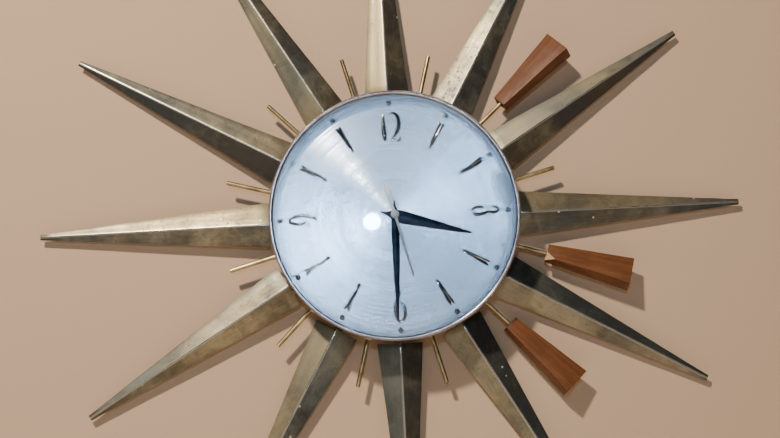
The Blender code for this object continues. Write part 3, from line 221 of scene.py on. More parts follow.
def cut_sheet(name, outlines, back, thickness):
    """Sheet cut to the first outline, with the others as holes."""
    curve = bpy.data.curves.new(name, "CURVE")
    curve.dimensions = "2D"
    curve.fill_mode = "BOTH"
    curve.extrude = thickness / 2
    for outline in outlines:
        spline = curve.splines.new("POLY")
        spline.points.add(len(outline) - 1)
        for point, (x, y) in zip(spline.points, outline):
            point.co = (x, y, 0.0, 1.0)
        spline.use_cyclic_u = True
    piece = converted(name, curve)
    piece.data.transform(Matrix.Translation((0.0, 0.0, back + thickness / 2)))
    repair(piece)
    return piece


def polar(radius, degrees, centre=(0.0, 0.0)):
    """Point at this radius and direction, counted from 3 o'clock towards 12."""
    return centre[0] + radius * cos(radians(degrees)), centre[1] + radius * sin(radians(degrees))


def circle(radius, centre=(0.0, 0.0), count=32):
    return [polar(radius, 360.0 * step / count, centre) for step in range(count)]


def hour_turn(hour):
    """Degrees that turn a piece drawn towards 12 o'clock to this hour."""
    return -30.0 * hour


def twin(piece, name):
    """A copy with its own mesh."""
    copy = piece.copy()
    copy.data = piece.data.copy()
    copy.name = copy.data.name = name
    bpy.context.collection.objects.link(copy)
    return copy


def remember(piece):
    """Keeps each corner's drawn place, so that grain and streaks follow the piece when it is turned."""
    drawn = piece.data.attributes.new("drawn", "FLOAT_VECTOR", "POINT")
    for corner, vertex in zip(drawn.data, piece.data.vertices):
        corner.vector = vertex.co


def hang(piece, slot, body="case", replaces=(), turn=0.0, at=(0.0, 0.0, 0.0), smooth=35.0, finish=None):
    """Turns a piece about the hands, hangs it in the clock and names its body.

    It takes its slot's finish unless another is given.
    """
    if "drawn" not in piece.data.attributes:
        remember(piece)
    piece.data.transform(ON_WALL @ Matrix.Rotation(radians(turn), 4, "Z") @ Matrix.Translation(at))
    if not piece.data.materials:
        piece.data.materials.append(finish or FINISHES[slot])
    only(piece)
    bpy.ops.object.shade_smooth_by_angle(angle=radians(smooth))
    bpy.ops.object.select_all(action="DESELECT")
    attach(piece, body)
    if replaces:
        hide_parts(*replaces)
    return piece


# ------------------------------------------------------------------------------ finishes
class Value:
    """What a node gives out. Sums written with it add Math nodes."""

    def __init__(self, finish, socket):
        self.finish = finish
        self.socket = socket

    def math(self, operation, *terms):
        return self.finish.node("ShaderNodeMath", {"operation": operation}, dict(enumerate(terms)))

    def size(self):
        return self.math("ABSOLUTE", self)

    def between(self, low, high):
        """0 below low, 1 above high, with a soft step between."""
        return self.finish.node("ShaderNodeMapRange", {"interpolation_type": "SMOOTHSTEP"},
                                {"Value": self, "From Min": low, "From Max": high})


def operators(operation):
    """The plain and the reflected form of a Math node's operation."""
    return (lambda self, other: self.math(operation, self, other),
            lambda self, other: self.math(operation, other, self))


Value.__add__, Value.__radd__ = operators("ADD")
Value.__sub__, Value.__rsub__ = operators("SUBTRACT")
Value.__mul__, Value.__rmul__ = operators("MULTIPLY")
Value.__pow__, _ = operators("POWER")


class Finish:
    """A material: one Principled shader with its constants, and the nodes that vary it."""

    def __init__(self, name, **constants):
        self.material = bpy.data.materials.new(name)
        self.material.use_nodes = True
        self.tree = self.material.node_tree
        self.shader = self.tree.nodes["Principled BSDF"]
        for key, value in constants.items():
            socket = self.shader.inputs[key.replace("_", " ")]
            socket.default_value = (*value, 1.0) if isinstance(value, tuple) else value

    def node(self, kind, settings=None, sockets=None, out=0):
        """Adds a node: its settings first, then the values or links of its sockets."""
        node = self.tree.nodes.new(kind)
        for key, value in (settings or {}).items():
            if key == "stops":
                while len(node.color_ramp.elements) < len(value):
                    node.color_ramp.elements.new(1.0)
                for element, (place, colour) in zip(node.color_ramp.elements, value):
                    element.position = place
                    element.color = (*colour, 1.0)
            else:
                setattr(node, key, value)
        for key, value in (sockets or {}).items():
            socket = node.inputs[key]
            if isinstance(value, Value):
                self.tree.links.new(value.socket, socket)
            elif isinstance(value, tuple) and socket.type == "RGBA":
                socket.default_value = (*value, 1.0)
            else:
                socket.default_value = value
        return Value(self, node.outputs[out])

    def place(self):
        return self.node("ShaderNodeTexCoord", out="Object")

    def drawn(self):
        return self.node("ShaderNodeAttribute", {"attribute_name": "drawn"}, out="Vector")

    def stretched(self, vector, x=1.0, y=1.0, z=1.0):
        return self.node("ShaderNodeVectorMath", {"operation": "MULTIPLY"}, {0: vector, 1: (x, y, z)})

    def split(self, vector, part):
        return self.node("ShaderNodeSeparateXYZ", None, {0: vector}, part)

    def noise(self, vector, grain, detail=4.0, roughness=0.55, warp=0.0):
        """Cloudy numbers round 0.5; grain is the size of a cloud in metres."""
        return self.node("ShaderNodeTexNoise", None, {
            "Vector": vector, "Scale": 1.0 / grain, "Detail": detail, "Roughness": roughness,
            "Distortion": warp}, "Fac")

    def ramp(self, value, *stops):
        return self.node("ShaderNodeValToRGB", {"stops": stops}, {"Fac": value})

    def mix(self, share, first, second):
        node = self.tree.nodes.new("ShaderNodeMix")
        node.data_type = "RGBA"
        for socket, value in ((node.inputs[0], share), (node.inputs[6], first), (node.inputs[7], second)):
            if isinstance(value, Value):
                self.tree.links.new(value.socket, socket)
            else:
                socket.default_value = (*value, 1.0) if isinstance(value, tuple) else value
        return Value(self, node.outputs[2])

    def spots(self, vector, grain, low, high):
        """1 in the middle of scattered spots."""
        far = self.node("ShaderNodeTexVoronoi", None, {"Vector": vector, "Scale": 1.0 / grain}, "Distance")
        return 1.0 - far.between(low, high)

    def feed(self, **values):
        for key, value in values.items():
            self.tree.links.new(value.socket, self.shader.inputs[key.replace("_", " ")])
        return self

    def bump(self, height, strength=0.3, distance=0.0002):
        self.feed(Normal=self.node("ShaderNodeBump", None, {
            "Strength": strength, "Distance": distance, "Height": height}, "Normal"))
        return self


def ray_brass():
    """Old brass sheet. A per-facet attribute says how dark, how golden and how mottled each facet is; the
    gold and the mottling are tarnish, the darkness is partly tarnish and partly painted shade on facets
    turned from the lamps.
    """
    brass = Finish("ray_brass", Specular_IOR_Level=0.5)
    place, drawn = brass.place(), brass.drawn()
    patina = brass.node("ShaderNodeAttribute", {"attribute_name": "patina"}, out="Vector")
    dark, gold, mottle = (brass.split(patina, part) for part in range(3))
    cloud = brass.noise(place, 0.055, 3.0, 0.55, 0.5)
    drift = brass.noise(brass.stretched(place, 1.3, 1.3, 1.3), 0.090, 2.0, 0.5)
    blotch = brass.noise(place, 0.016, 6.0, 0.66, 0.9)
    streak = brass.noise(brass.stretched(drawn, 1.0, 0.05, 1.0), 0.0016, 3.0, 0.6)
    fine = brass.noise(place, 0.0020, 4.0, 0.7)
    far = brass.split(drawn, "Y").between(0.19, 0.31)
    hue = (gold + (drift - 0.5) * 1.5 - far * 0.35).between(0.0, 1.0)
    # the darkness mixes tarnish with painted shade: the per-facet dark value darkens facets turned from the
    # lamps
    depth = dark + (cloud - 0.5) * 1.3 + (blotch - 0.5) * (0.5 + mottle) + (streak - 0.5) * 0.3 + far * 0.15
    light = brass.mix(hue, (0.200, 0.215, 0.185), (0.46, 0.38, 0.22))
    deep = brass.mix(hue, (0.032, 0.036, 0.034), (0.060, 0.044, 0.026))
    colour = brass.mix(depth.between(-0.15, 1.05), light, deep)
    pit = brass.noise(place, 0.0042, 3.0, 0.6).between(0.55, 0.64) * fine.between(0.40, 0.55)
    speck = brass.spots(place, 0.0062, 0.08, 0.20) * fine.between(0.42, 0.56)
    dirt = pit * mottle + speck * 0.5
    colour = brass.mix(dirt * 0.7, colour, (0.030, 0.027, 0.020))
    bare = brass.spots(place, 0.024, 0.02, 0.06)
    colour = brass.mix(bare * 0.8, colour, (0.75, 0.72, 0.60))
    crest = 1.0 - brass.split(drawn, "X").size().between(0.0005, 0.0013)
    # painted highlight: the rounded crest is lightened in colour to stand for the lamps' glint along the
    # ridge; its higher metallic and lower roughness are real
    colour = brass.mix(crest * 0.55, colour, (0.66, 0.62, 0.52))
    brass.feed(Base_Color=colour,
               Metallic=0.80 - depth * 0.25 - dirt * 0.2 + crest * 0.2,
               Roughness=0.40 + depth * 0.12 + dirt * 0.2 - crest * 0.18 + (streak - 0.5) * 0.15)
    return brass.bump(blotch * 0.5 + fine * 0.25 + streak * 0.5 - dirt * 0.8, 0.35, 0.00025)


def drawn_brass(name, bright, dark, roughness):
    """Drawn or turned brass, with lengthwise lines and brown handling marks."""
    brass = Finish(name, Metallic=1.0)
    place = brass.place()
    line = brass.noise(brass.stretched(brass.drawn(), 1.0, 0.03, 1.0), 0.0007, 3.0, 0.6)
    cloud = brass.noise(place, 0.014, 5.0, 0.6)
    fine = brass.noise(place, 0.0012, 3.0, 0.6)
    tone = cloud * 0.7 + line * 0.3
    colour = brass.mix(tone.between(0.38, 0.62), dark, bright)
    brass.feed(Base_Color=colour, Roughness=roughness + (1.0 - tone) * 0.15 + fine * 0.08)
    return brass.bump(line + fine * 0.3, 0.15, 0.0001)


def teak():
    """Oiled teak: long quiet bands, short dark pores along the grain."""
    wood = Finish("teak", Metallic=0.0, Specular_IOR_Level=0.35)
    drawn = wood.drawn()
    bend = wood.noise(wood.stretched(drawn, 1.0, 0.35, 1.0), 0.012, 2.0, 0.5)
    across = wood.split(drawn, "X") + wood.split(drawn, "Z") * 0.6
    bands = wood.noise(wood.node("ShaderNodeCombineXYZ", None, {
        0: across + bend * 0.004, 1: wood.split(drawn, "Y") * 0.03, 2: bend * 0.002}), 0.0022, 4.0, 0.6)
    pores = wood.noise(wood.stretched(drawn, 1.0, 0.05, 1.0), 0.00045, 2.0, 0.5).between(0.56, 0.70)
    cloud = wood.noise(drawn, 0.025, 3.0, 0.5)
    colour = wood.ramp(bands * 0.6 + cloud * 0.4, (0.34, (0.085, 0.028, 0.009)),
                       (0.50, (0.135, 0.047, 0.015)), (0.66, (0.190, 0.073, 0.024)))
    colour = wood.mix(pores * 0.45, colour, (0.075, 0.030, 0.012))
    wood.feed(Base_Color=colour, Roughness=0.55 + pores * 0.2 - bands * 0.12)
    return wood.bump(bands * 0.4 - pores * 0.7, 0.3, 0.0002)


def raw_wood():
    """Fresh splintered wood where a corner has split off."""
    wood = Finish("split_teak", Roughness=0.8)
    fibre = wood.noise(wood.stretched(wood.drawn(), 1.0, 0.06, 1.0), 0.0006, 4.0, 0.7)
    colour = wood.ramp(fibre, (0.35, (0.42, 0.24, 0.12)), (0.65, (0.72, 0.52, 0.32)))
    return wood.feed(Base_Color=colour).bump(fibre, 0.8, 0.0005)


def dial_aluminium():
    """Aluminium brushed in circles: each fine line tilts the face outwards or inwards, never along itself."""
    dial = Finish("dial_aluminium", Metallic=0.85)
    drawn = dial.drawn()
    x, y = dial.split(drawn, "X"), dial.split(drawn, "Y")
    radius = (x * x + y * y) ** 0.5
    across = dial.node("ShaderNodeCombineXYZ", None, {0: radius})
    lines = dial.noise(across, 0.00012, 2.0, 0.6)
    rings = dial.noise(across, 0.0012, 3.0, 0.6)
    cloud = dial.noise(drawn, 0.045, 3.0, 0.5)
    # painted reflection: the dial's blue tint stands for the cool lamp's light reflected in the aluminium;
    # the tone changes with the rings and clouds are real brushing
    colour = dial.ramp(rings * 0.5 + cloud * 0.5, (0.38, (0.62, 0.74, 0.88)), (0.62, (0.72, 0.82, 0.93)))
    # painted shade: the colour greys towards the rim, where the bezel shades the dial
    colour = dial.mix(radius.between(0.104, 0.1115) * 0.25, colour, (0.50, 0.47, 0.46))
    stain_x, stain_y = x - 0.079, y - 0.047
    stain = 1.0 - ((stain_x * stain_x + stain_y * stain_y) ** 0.5).between(0.002, 0.0075)
    smudge = radius.between(0.088, 0.108) * x.between(0.070, 0.100) * cloud.between(0.45, 0.62)
    colour = dial.mix(stain * 0.30 + smudge * 0.35, colour, (0.36, 0.38, 0.42))
    speck = dial.spots(drawn, 0.014, 0.02, 0.05)
    colour = dial.mix(speck * 0.5, colour, (0.30, 0.29, 0.28))
    outwards = dial.node("ShaderNodeVectorMath", {"operation": "NORMALIZE"},
                         {0: dial.stretched(dial.place(), 1.0, 0.0, 1.0)})
    face = dial.node("ShaderNodeNewGeometry", out="Normal")
    tilted = dial.node("ShaderNodeVectorMath", {"operation": "MULTIPLY_ADD"},
                       {0: outwards, 1: (lines - 0.5) * DIAL_TILT, 2: face})
    return dial.feed(
        Base_Color=colour, Roughness=0.20 + (rings - 0.5) * 0.06 + (cloud - 0.5) * 0.06 + smudge * 0.12,
        Normal=dial.node("ShaderNodeVectorMath", {"operation": "NORMALIZE"}, {0: tilted}))


def plated(name, light, shade, roughness, grain=0.0008, mark=(0.30, 0.25, 0.20)):
    """Plated metal: fine rubbing marks, soft clouds and a few darker spots."""
    metal = Finish(name, Metallic=1.0)
    place = metal.place()
    cloud = metal.noise(place, 0.020, 4.0, 0.6)
    fine = metal.noise(place, grain, 3.0, 0.6)
    pits = metal.spots(place, 0.0052, 0.06, 0.14) * cloud.between(0.5, 0.62)
    colour = metal.mix(cloud.between(0.36, 0.64), shade, light)
    colour = metal.mix(pits * 0.5, colour, mark)
    metal.feed(Base_Color=colour,
               Roughness=roughness + (cloud - 0.5) * 0.14 + (fine - 0.5) * 0.08 + pits * 0.2)
    return metal.bump(fine + pits, 0.10, 0.0001)


def painted(name, colour, deep, roughness, metallic=0.0, grain=0.0009, bumps=0.2, dust=(0.30, 0.28, 0.25)):
    """Enamel, moulding or rubber: slight texture, gloss that varies and settled dust."""
    paint = Finish(name, Metallic=metallic)
    place = paint.place()
    cloud = paint.noise(place, 0.030, 4.0, 0.6)
    fine = paint.noise(place, grain, 3.0, 0.6)
    tint = paint.mix(cloud.between(0.35, 0.65), deep, colour)
    tint = paint.mix(cloud.between(0.55, 0.75) * fine.between(0.45, 0.6) * 0.35, tint, dust)
    paint.feed(Base_Color=tint, Roughness=roughness + (cloud - 0.5) * 0.2 + (fine - 0.5) * 0.1)
    return paint.bump(fine, bumps, 0.00012)


def blued_steel():
    """Blue-black steel with fine lengthwise lines."""
    steel = Finish("hand_steel", Metallic=0.9, Coat_Weight=0.35, Coat_Roughness=0.12)
    line = steel.noise(steel.stretched(steel.drawn(), 1.0, 0.04, 1.0), 0.0005, 3.0, 0.6)
    cloud = steel.noise(steel.place(), 0.012, 3.0, 0.5)
    colour = steel.mix(cloud.between(0.35, 0.65), (0.016, 0.024, 0.045), (0.042, 0.062, 0.105))
    steel.feed(Base_Color=colour, Roughness=0.26 + line * 0.14 + (cloud - 0.5) * 0.1)
    return steel.bump(line, 0.12, 0.00008)


def clear_glass():
    """Clear glass: what is behind shows unbent, and the lamps shine on it at a slant."""
    glass = Finish("glass", Base_Color=(0.97, 0.99, 1.0), Metallic=0.0, IOR=1.5, Specular_IOR_Level=0.5)
    haze = glass.noise(glass.place(), 0.012, 4.0, 0.6)
    glass.feed(Roughness=haze * 0.05)
    clear = glass.node("ShaderNodeBsdfTransparent", None, {"Color": (0.985, 0.992, 1.0)})
    shine = glass.node("ShaderNodeBsdfGlossy", None, {"Color": (1.0, 1.0, 1.0), "Roughness": 0.03})
    bend = glass.node("ShaderNodeFresnel", None, {"IOR": 1.5})
    mixed = glass.node("ShaderNodeMixShader", None, {0: bend, 1: clear, 2: shine})
    glass.tree.links.new(mixed.socket, glass.tree.nodes["Material Output"].inputs["Surface"])
    glass.tree.nodes.remove(glass.shader)
    return glass


def sleeve():
    """The cell's printed steel sleeve: two plain bands, a thin line between them and light scuffs."""
    wrap = Finish("cell_wrap", Metallic=0.55)
    place = wrap.place()
    along = wrap.split(place, "X")
    fine = wrap.noise(place, 0.0010, 3.0, 0.6)
    scuff = wrap.noise(place, 0.006, 5.0, 0.7).between(0.60, 0.70)
    band = along.between(0.0130, 0.0132)
    line = (along - 0.0110).size().between(0.0006, 0.0008)
    colour = wrap.mix(band, (0.045, 0.060, 0.100), (0.42, 0.30, 0.13))
    colour = wrap.mix(1.0 - line, colour, (0.55, 0.55, 0.52))
    colour = wrap.mix(scuff * 0.35, colour, (0.45, 0.45, 0.44))
    wrap.feed(Base_Color=colour, Roughness=0.30 + fine * 0.1 + scuff * 0.2)
    return wrap.bump(fine, 0.08, 0.0001)


def phenolic():
    """Brown phenolic board with a trace of its paper grain."""
    board = Finish("board", Metallic=0.0)
    place = board.place()
    grain = board.noise(board.stretched(place, 1.0, 1.0, 0.2), 0.0008, 3.0, 0.6)
    colour = board.ramp(grain, (0.35, (0.20, 0.13, 0.05)), (0.65, (0.34, 0.24, 0.10)))
    return board.feed(Base_Color=colour, Roughness=0.40 + grain * 0.15).bump(grain, 0.15, 0.0001)


def winding():
    """Layers of fine enamelled copper wire."""
    copper = Finish("copper", Metallic=1.0, Coat_Weight=0.5, Coat_Roughness=0.15)
    place = copper.place()
    layers = copper.node("ShaderNodeMath", {"operation": "SINE"},
                         {0: copper.split(place, "Y") * (tau / 0.0004)})
    cloud = copper.noise(place, 0.003, 3.0, 0.6)
    colour = copper.ramp(layers * 0.25 + cloud, (0.25, (0.28, 0.09, 0.035)), (0.75, (0.62, 0.26, 0.11)))
    return copper.feed(Base_Color=colour, Roughness=0.28 + cloud * 0.15).bump(layers, 0.4, 0.0001)


DIAL_TILT = 2.6  # how far the brushed lines lean
FINISHES = {
    "ray_brass": ray_brass(),
    "rod_brass": drawn_brass("rod_brass", (0.56, 0.44, 0.23), (0.24, 0.17, 0.08), 0.24),
    "wheel_brass": drawn_brass("wheel_brass", (0.83, 0.66, 0.34), (0.60, 0.44, 0.19), 0.26),
    "teak": teak(),
    "pan_steel": painted("pan_steel", (0.13, 0.115, 0.10), (0.075, 0.066, 0.058), 0.42, 0.35),
    "bezel_metal": plated("bezel_metal", (0.50, 0.46, 0.48), (0.34, 0.30, 0.30), 0.24, 0.0006),
    "dial_aluminium": dial_aluminium(),
    "hand_steel": blued_steel(),
    "second_white": painted("second_white", (0.94, 0.96, 0.97), (0.88, 0.91, 0.93), 0.30, bumps=0.05,
                            dust=(0.80, 0.82, 0.84)),
    "plated_steel": plated("plated_steel", (0.68, 0.68, 0.67), (0.50, 0.49, 0.47), 0.28),
    "moulding": painted("moulding", (0.052, 0.052, 0.055), (0.032, 0.032, 0.035), 0.42),
    "rubber": painted("rubber", (0.030, 0.030, 0.030), (0.018, 0.018, 0.018), 0.75, bumps=0.4),
    "cell_wrap": sleeve(),
    "board": phenolic(),
    "copper": winding(),
    "spring_blue": plated("spring_blue", (0.07, 0.11, 0.34), (0.04, 0.06, 0.20), 0.2),
    "glass": clear_glass(),
}
FINISHES = {name: made.material for name, made in FINISHES.items()}
MARKER_SILVER = plated("marker_silver", (0.44, 0.47, 0.50), (0.28, 0.30, 0.33), 0.13, 0.0005).material
SPACER = plated("spacer", (0.78, 0.83, 0.89), (0.66, 0.70, 0.76), 0.45).material
SPLIT_TEAK = raw_wood().material

# CAD nodes whose shape is right take the finish of their slot
for part in frame["record"]["subparts"]:
    node = frame["nodes"][part["node"]]
    node.data.materials.clear()
    node.data.materials.append(FINISHES[part["material_slot"]])

# ------------------------------------------------------------------------------ rays
HOURS = range(1, 13)
bezel_radius = reach("bezel")
bezel_back, bezel_front = depths("bezel")
ray_low, ray_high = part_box("ray_12")
RAY_ROOT = bezel_radius + 0.0014
RAY_TIP = ray_high.z
RAY_SHEET = 0.0008
RIDGE_AT_ROOT = -ray_low.y
RIDGE_AT_TIP = 0.0085
TIP_HALF_WIDTH = 0.0026
FOLD = 0.42  # drop of a facet over its half width
CREST = 0.0011  # half width of the rounded ridge
# hand bending: degrees of lean about the root and lengthening, by hour
LEAN = {1: 0.2, 2: 1.5, 3: 0.4, 4: 0.5, 5: 0.3, 8: 0.7, 9: 0.1, 10: 0.7, 11: 0.3}
STRETCH = {2: -0.0027, 3: -0.0007, 4: -0.0014, 8: 0.0031, 9: -0.0011, 10: 0.0023}
# how each ray's facets look: (dark, golden, mottled) of its facet before and after the hour's direction; dark
# is partly tarnish and partly painted shade on facets turned from the lamps
FACET_TARNISH_AND_SHADE = {
    1: ((0.25, 0.50, 0.5), (0.70, 0.40, 1.0)), 2: ((0.28, 0.60, 0.2), (0.95, 0.70, 0.3)),
    3: ((0.40, 0.75, 0.3), (0.58, 0.40, 0.2)), 4: ((0.80, 0.25, 0.5), (0.45, 0.80, 0.2)),
    5: ((0.85, 0.20, 0.4), (0.38, 0.60, 0.2)), 6: ((0.95, 0.60, 0.3), (0.52, 0.05, 0.2)),
    7: ((0.55, 0.20, 0.4), (0.42, 0.75, 0.2)), 8: ((0.52, 1.00, 0.2), (0.30, 0.45, 0.2)),
    9: ((0.55, 0.55, 0.5), (0.22, 0.90, 0.3)), 10: ((0.90, 0.30, 0.7), (0.42, 0.50, 0.4)),
    11: ((0.30, 0.45, 0.3), (0.68, 0.45, 0.5)), 12: ((0.00, 0.85, 0.1), (0.78, 0.50, 0.5)),
}


def ridge_height(radius):
    share = (radius - RAY_ROOT) / (RAY_TIP - RAY_ROOT)
    return RIDGE_AT_ROOT + share * (RIDGE_AT_TIP - RIDGE_AT_ROOT)


def make_ray_pattern():
    """A hollow ray folded from sheet, drawn towards 12: flat strip, folded, drawn in to its open tip."""
    half = ray_high.x
    length = RAY_TIP - RAY_ROOT
    start("ray_pattern", bpy.ops.mesh.primitive_grid_add, x_subdivisions=2, y_subdivisions=1, size=1.0)
    scale(2 * half, length)
    move(y=RAY_ROOT + length / 2, z=RIDGE_AT_ROOT)
    pick("VERT", lambda at, _: abs(at.x) > WELD)
    move(z=-FOLD * half)
    pick("VERT", lambda at, _: at.y > RAY_TIP - WELD)
    draw_in = TIP_HALF_WIDTH / half
    scale(draw_in, 1.0, draw_in, about=(0.0, RAY_TIP, RIDGE_AT_ROOT))
    move(z=RIDGE_AT_TIP - RIDGE_AT_ROOT)
    pick("EDGE", lambda at, along: abs(along.y) > 0.9)
    bpy.ops.mesh.subdivide(number_cuts=17)
    pick("EDGE", lambda at, along: abs(at.x) < WELD and abs(along.y) > 0.9)
    bevel(CREST, 3)
    pick("EDGE", lambda at, along: abs(along.x) > 0.5 and abs(at.x) > 2 * CREST or
         abs(along.x) > 0.5 and at.y > RAY_TIP - WELD and abs(at.x) > CREST)
    bpy.ops.mesh.subdivide(number_cuts=2)
    close()
    return bpy.context.object


def make_rays():
    """Each ray is bent a little differently, as these were by hand."""
    pattern = make_ray_pattern()
    for hour in HOURS:
        ray = twin(pattern, f"folded_ray_{hour:02d}")
        reopen(ray)
        pick("VERT", lambda at, _: RAY_ROOT + WELD < at.y)
        stretch = STRETCH.get(hour, 0.0) / (RAY_TIP - RAY_ROOT)
        scale(1.0, 1.0 + stretch, 1.0, about=(0.0, RAY_ROOT, 0.0))
        pick("VERT", lambda at, _: RAY_ROOT + WELD < at.y and abs(at.x) > 2 * CREST)
        bpy.ops.transform.vertex_random(offset=0.00022, uniform=0.0, normal=0.0, seed=hour)
        bpy.ops.mesh.vertices_smooth(factor=0.5, repeat=2, xaxis=False, yaxis=False)
        close()
        modify(ray, "SOLIDIFY", thickness=RAY_SHEET, offset=-1.0)
        soften(ray, 0.00018, 2, 50.0)
        remember(ray)
        patina = ray.data.attributes.new("patina", "FLOAT_VECTOR", "POINT")
        before, after = FACET_TARNISH_AND_SHADE[hour]
        for mark, vertex in zip(patina.data, ray.data.vertices):
            mark.vector = before if vertex.co.x < 0.0 else after
        about = Matrix.Translation((0.0, RAY_ROOT, 0.0))
        ray.data.transform(about @ Matrix.Rotation(radians(LEAN.get(hour, 0.0)), 4, "Z") @ about.inverted())
        hang(ray, "ray_brass", replaces=(f"ray_{hour:02d}",), turn=hour_turn(hour))
    bpy.data.objects.remove(pattern)


make_rays()
# ------------------------------------------------------------------------------ rods and paddles
rod_low, rod_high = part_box("rod_12")
ROD_AXIS = -(rod_low.y + rod_high.y) / 2
ROD_RADIUS = (rod_high.y - rod_low.y) / 2
pan_back, pan_front = depths("case_pan")
pan_radius = reach("case_pan")
ROD_TAIL = hypot(*middle("rod_12")) * 2  # twice the middle radius is the sum of both ends
ROD_START = pan_radius - 0.008
ROD_END = ROD_TAIL - ROD_START
PITCH = 0.0007
ROD_LEAN = {1.5: 2.6, 3.5: 2.2, 4.5: 0.5}


def leaning(hour):
    """A rod with a paddle leans about its hole in the pan."""
    hole = Matrix.Translation((0.0, pan_radius, 0.0))
    return hole @ Matrix.Rotation(radians(-ROD_LEAN.get(hour, 0.0)), 4, "Z") @ hole.inverted()


def lying(piece, height):
    """Lays a piece turned about z down along y, at this height."""
    piece.data.transform(Matrix.Translation((0.0, 0.0, height)) @ Matrix.Rotation(radians(-90), 4, "X"))
    return piece


def make_rods():
    """Brass rods with a plain cut end outside and a threaded tail inside the pan, held by two nuts."""
    profile = [(AXIS, ROD_START), (ROD_RADIUS * 0.7, ROD_START)]
    place = ROD_START + PITCH
    while place < pan_radius + 0.003:
        profile += [(ROD_RADIUS * 0.86, place), (ROD_RADIUS, place + PITCH / 2)]
        place += PITCH
    profile += [(ROD_RADIUS, place + PITCH), (ROD_RADIUS, ROD_END - 0.0003),
                (ROD_RADIUS - 0.0003, ROD_END), (AXIS, ROD_END)]
    pattern = lying(turned("rod_pattern", profile, 20), ROD_AXIS)
    nut = start("nut_pattern", bpy.ops.mesh.primitive_cylinder_add, vertices=6, radius=0.004,
                depth=0.0024, location=(0.0, 0.0, 0.0))
    pick("FACE", lambda at, normal: abs(normal.z) > 0.9)
    bpy.ops.mesh.inset(thickness=0.0012)
    bpy.ops.mesh.delete(type="FACE")
    pick("EDGE", lambda at, along: abs(along.z) < 0.5 and hypot(at.x, at.y) < 0.003)
    bpy.ops.mesh.bridge_edge_loops()
    close()
    repair(nut)
    soften(nut, 0.0003, 2, 50.0)
    lying(nut, ROD_AXIS)
    for number in HOURS:
        turn = hour_turn(number + 0.5)
        rod = twin(pattern, f"brass_rod_{number:02d}")
        remember(rod)
        rod.data.transform(leaning(number + 0.5))
        hang(rod, "rod_brass", replaces=(f"rod_{number:02d}",), turn=turn)
        for where, radius in (("inner", pan_radius - 0.0024), ("outer", pan_radius + 0.0013)):
            hang(twin(nut, f"rod_nut_{where}_{number:02d}"), "plated_steel",
                 turn=turn, at=(0.0, radius, 0.0))
    bpy.data.objects.remove(pattern)
    bpy.data.objects.remove(nut)


# hour: its node, degrees turned about the rod, where it starts
PADDLES = {1.5: ("paddle_01_30", -30.0, 0.149), 3.5: ("paddle_03_30", -25.0, 0.146),
           4.5: ("paddle_04_30", -16.0, 0.145)}
PADDLE_LENGTH = 0.081
PADDLE_INNER = (0.0135, 0.0105)  # width, thickness
PADDLE_OUTER = (0.0270, 0.0155)
SPLIT = Vector((0.72, -0.50, 0.48)).normalized()


def make_paddles():
    """Tapered teak blocks with eased edges, a shallow recess in the inner end, their outer ends a little
    worn.
    """
    for hour, (node, twist, inner) in PADDLES.items():
        paddle = block(f"teak_{node}", (PADDLE_OUTER[0], PADDLE_LENGTH, PADDLE_OUTER[1]),
                       (0.0, inner + PADDLE_LENGTH / 2, 0.0))
        pick("VERT", lambda at, _: at.y < inner + WELD)
        scale(PADDLE_INNER[0] / PADDLE_OUTER[0], 1.0, PADDLE_INNER[1] / PADDLE_OUTER[1],
              about=(0.0, inner, 0.0))
        pick("FACE", lambda at, normal: normal.y < -0.95)
        bpy.ops.mesh.inset(thickness=0.0028)
        bpy.ops.mesh.extrude_region_move(TRANSFORM_OT_translate={"value": (0.0, 0.0009, 0.0)})
        pick("EDGE", lambda at, along: abs(along.y) > 0.9 and at.z > 0.001)
        bpy.ops.mesh.subdivide(number_cuts=5)
        pick("VERT", lambda at, _: at.z > 0.004 and inner + 0.001 < at.y < inner + PADDLE_LENGTH - 0.001)
        bpy.ops.transform.vertex_random(offset=0.00015, uniform=0.0, normal=0.0, seed=int(hour))
        pick("VERT", lambda at, _: at.y > inner + PADDLE_LENGTH - WELD and at.z > 0.0 and at.x > 0.0)
        move(y=-0.0012, z=-0.0003)
        if hour == 3.5:
            # a sliver has split off one inner corner
            cut((PADDLE_INNER[0] * 0.30, inner, PADDLE_INNER[1] * 0.2), SPLIT, fill=True, drop=True)
        close()
        repair(paddle)
        paddle.data.materials.append(FINISHES["teak"])
        paddle.data.materials.append(SPLIT_TEAK)
        for face in paddle.data.polygons:
            if face.normal.dot(SPLIT) > 0.99 or face.normal.y < -0.9 and hour != 1.5:
                face.material_index = 1
        soften(paddle, 0.0005, 3, 22.0)
        remember(paddle)
        paddle.data.transform(Matrix.Translation((0.0, 0.0, ROD_AXIS)) @
                             Matrix.Rotation(radians(twist), 4, "Y"))
        paddle.data.transform(leaning(hour))
        hang(paddle, "teak", replaces=(node,), turn=hour_turn(hour), smooth=30.0)


make_rods()
make_paddles()

# ------------------------------------------------------------------------------ pan, bezel, glass, dial
dial_back, _ = depths("dial")
dial_radius = reach("dial")
DIAL_FACE = dial_back + 0.0008
glass_back, glass_front = depths("glass")
LIP = bezel_radius - 0.0041


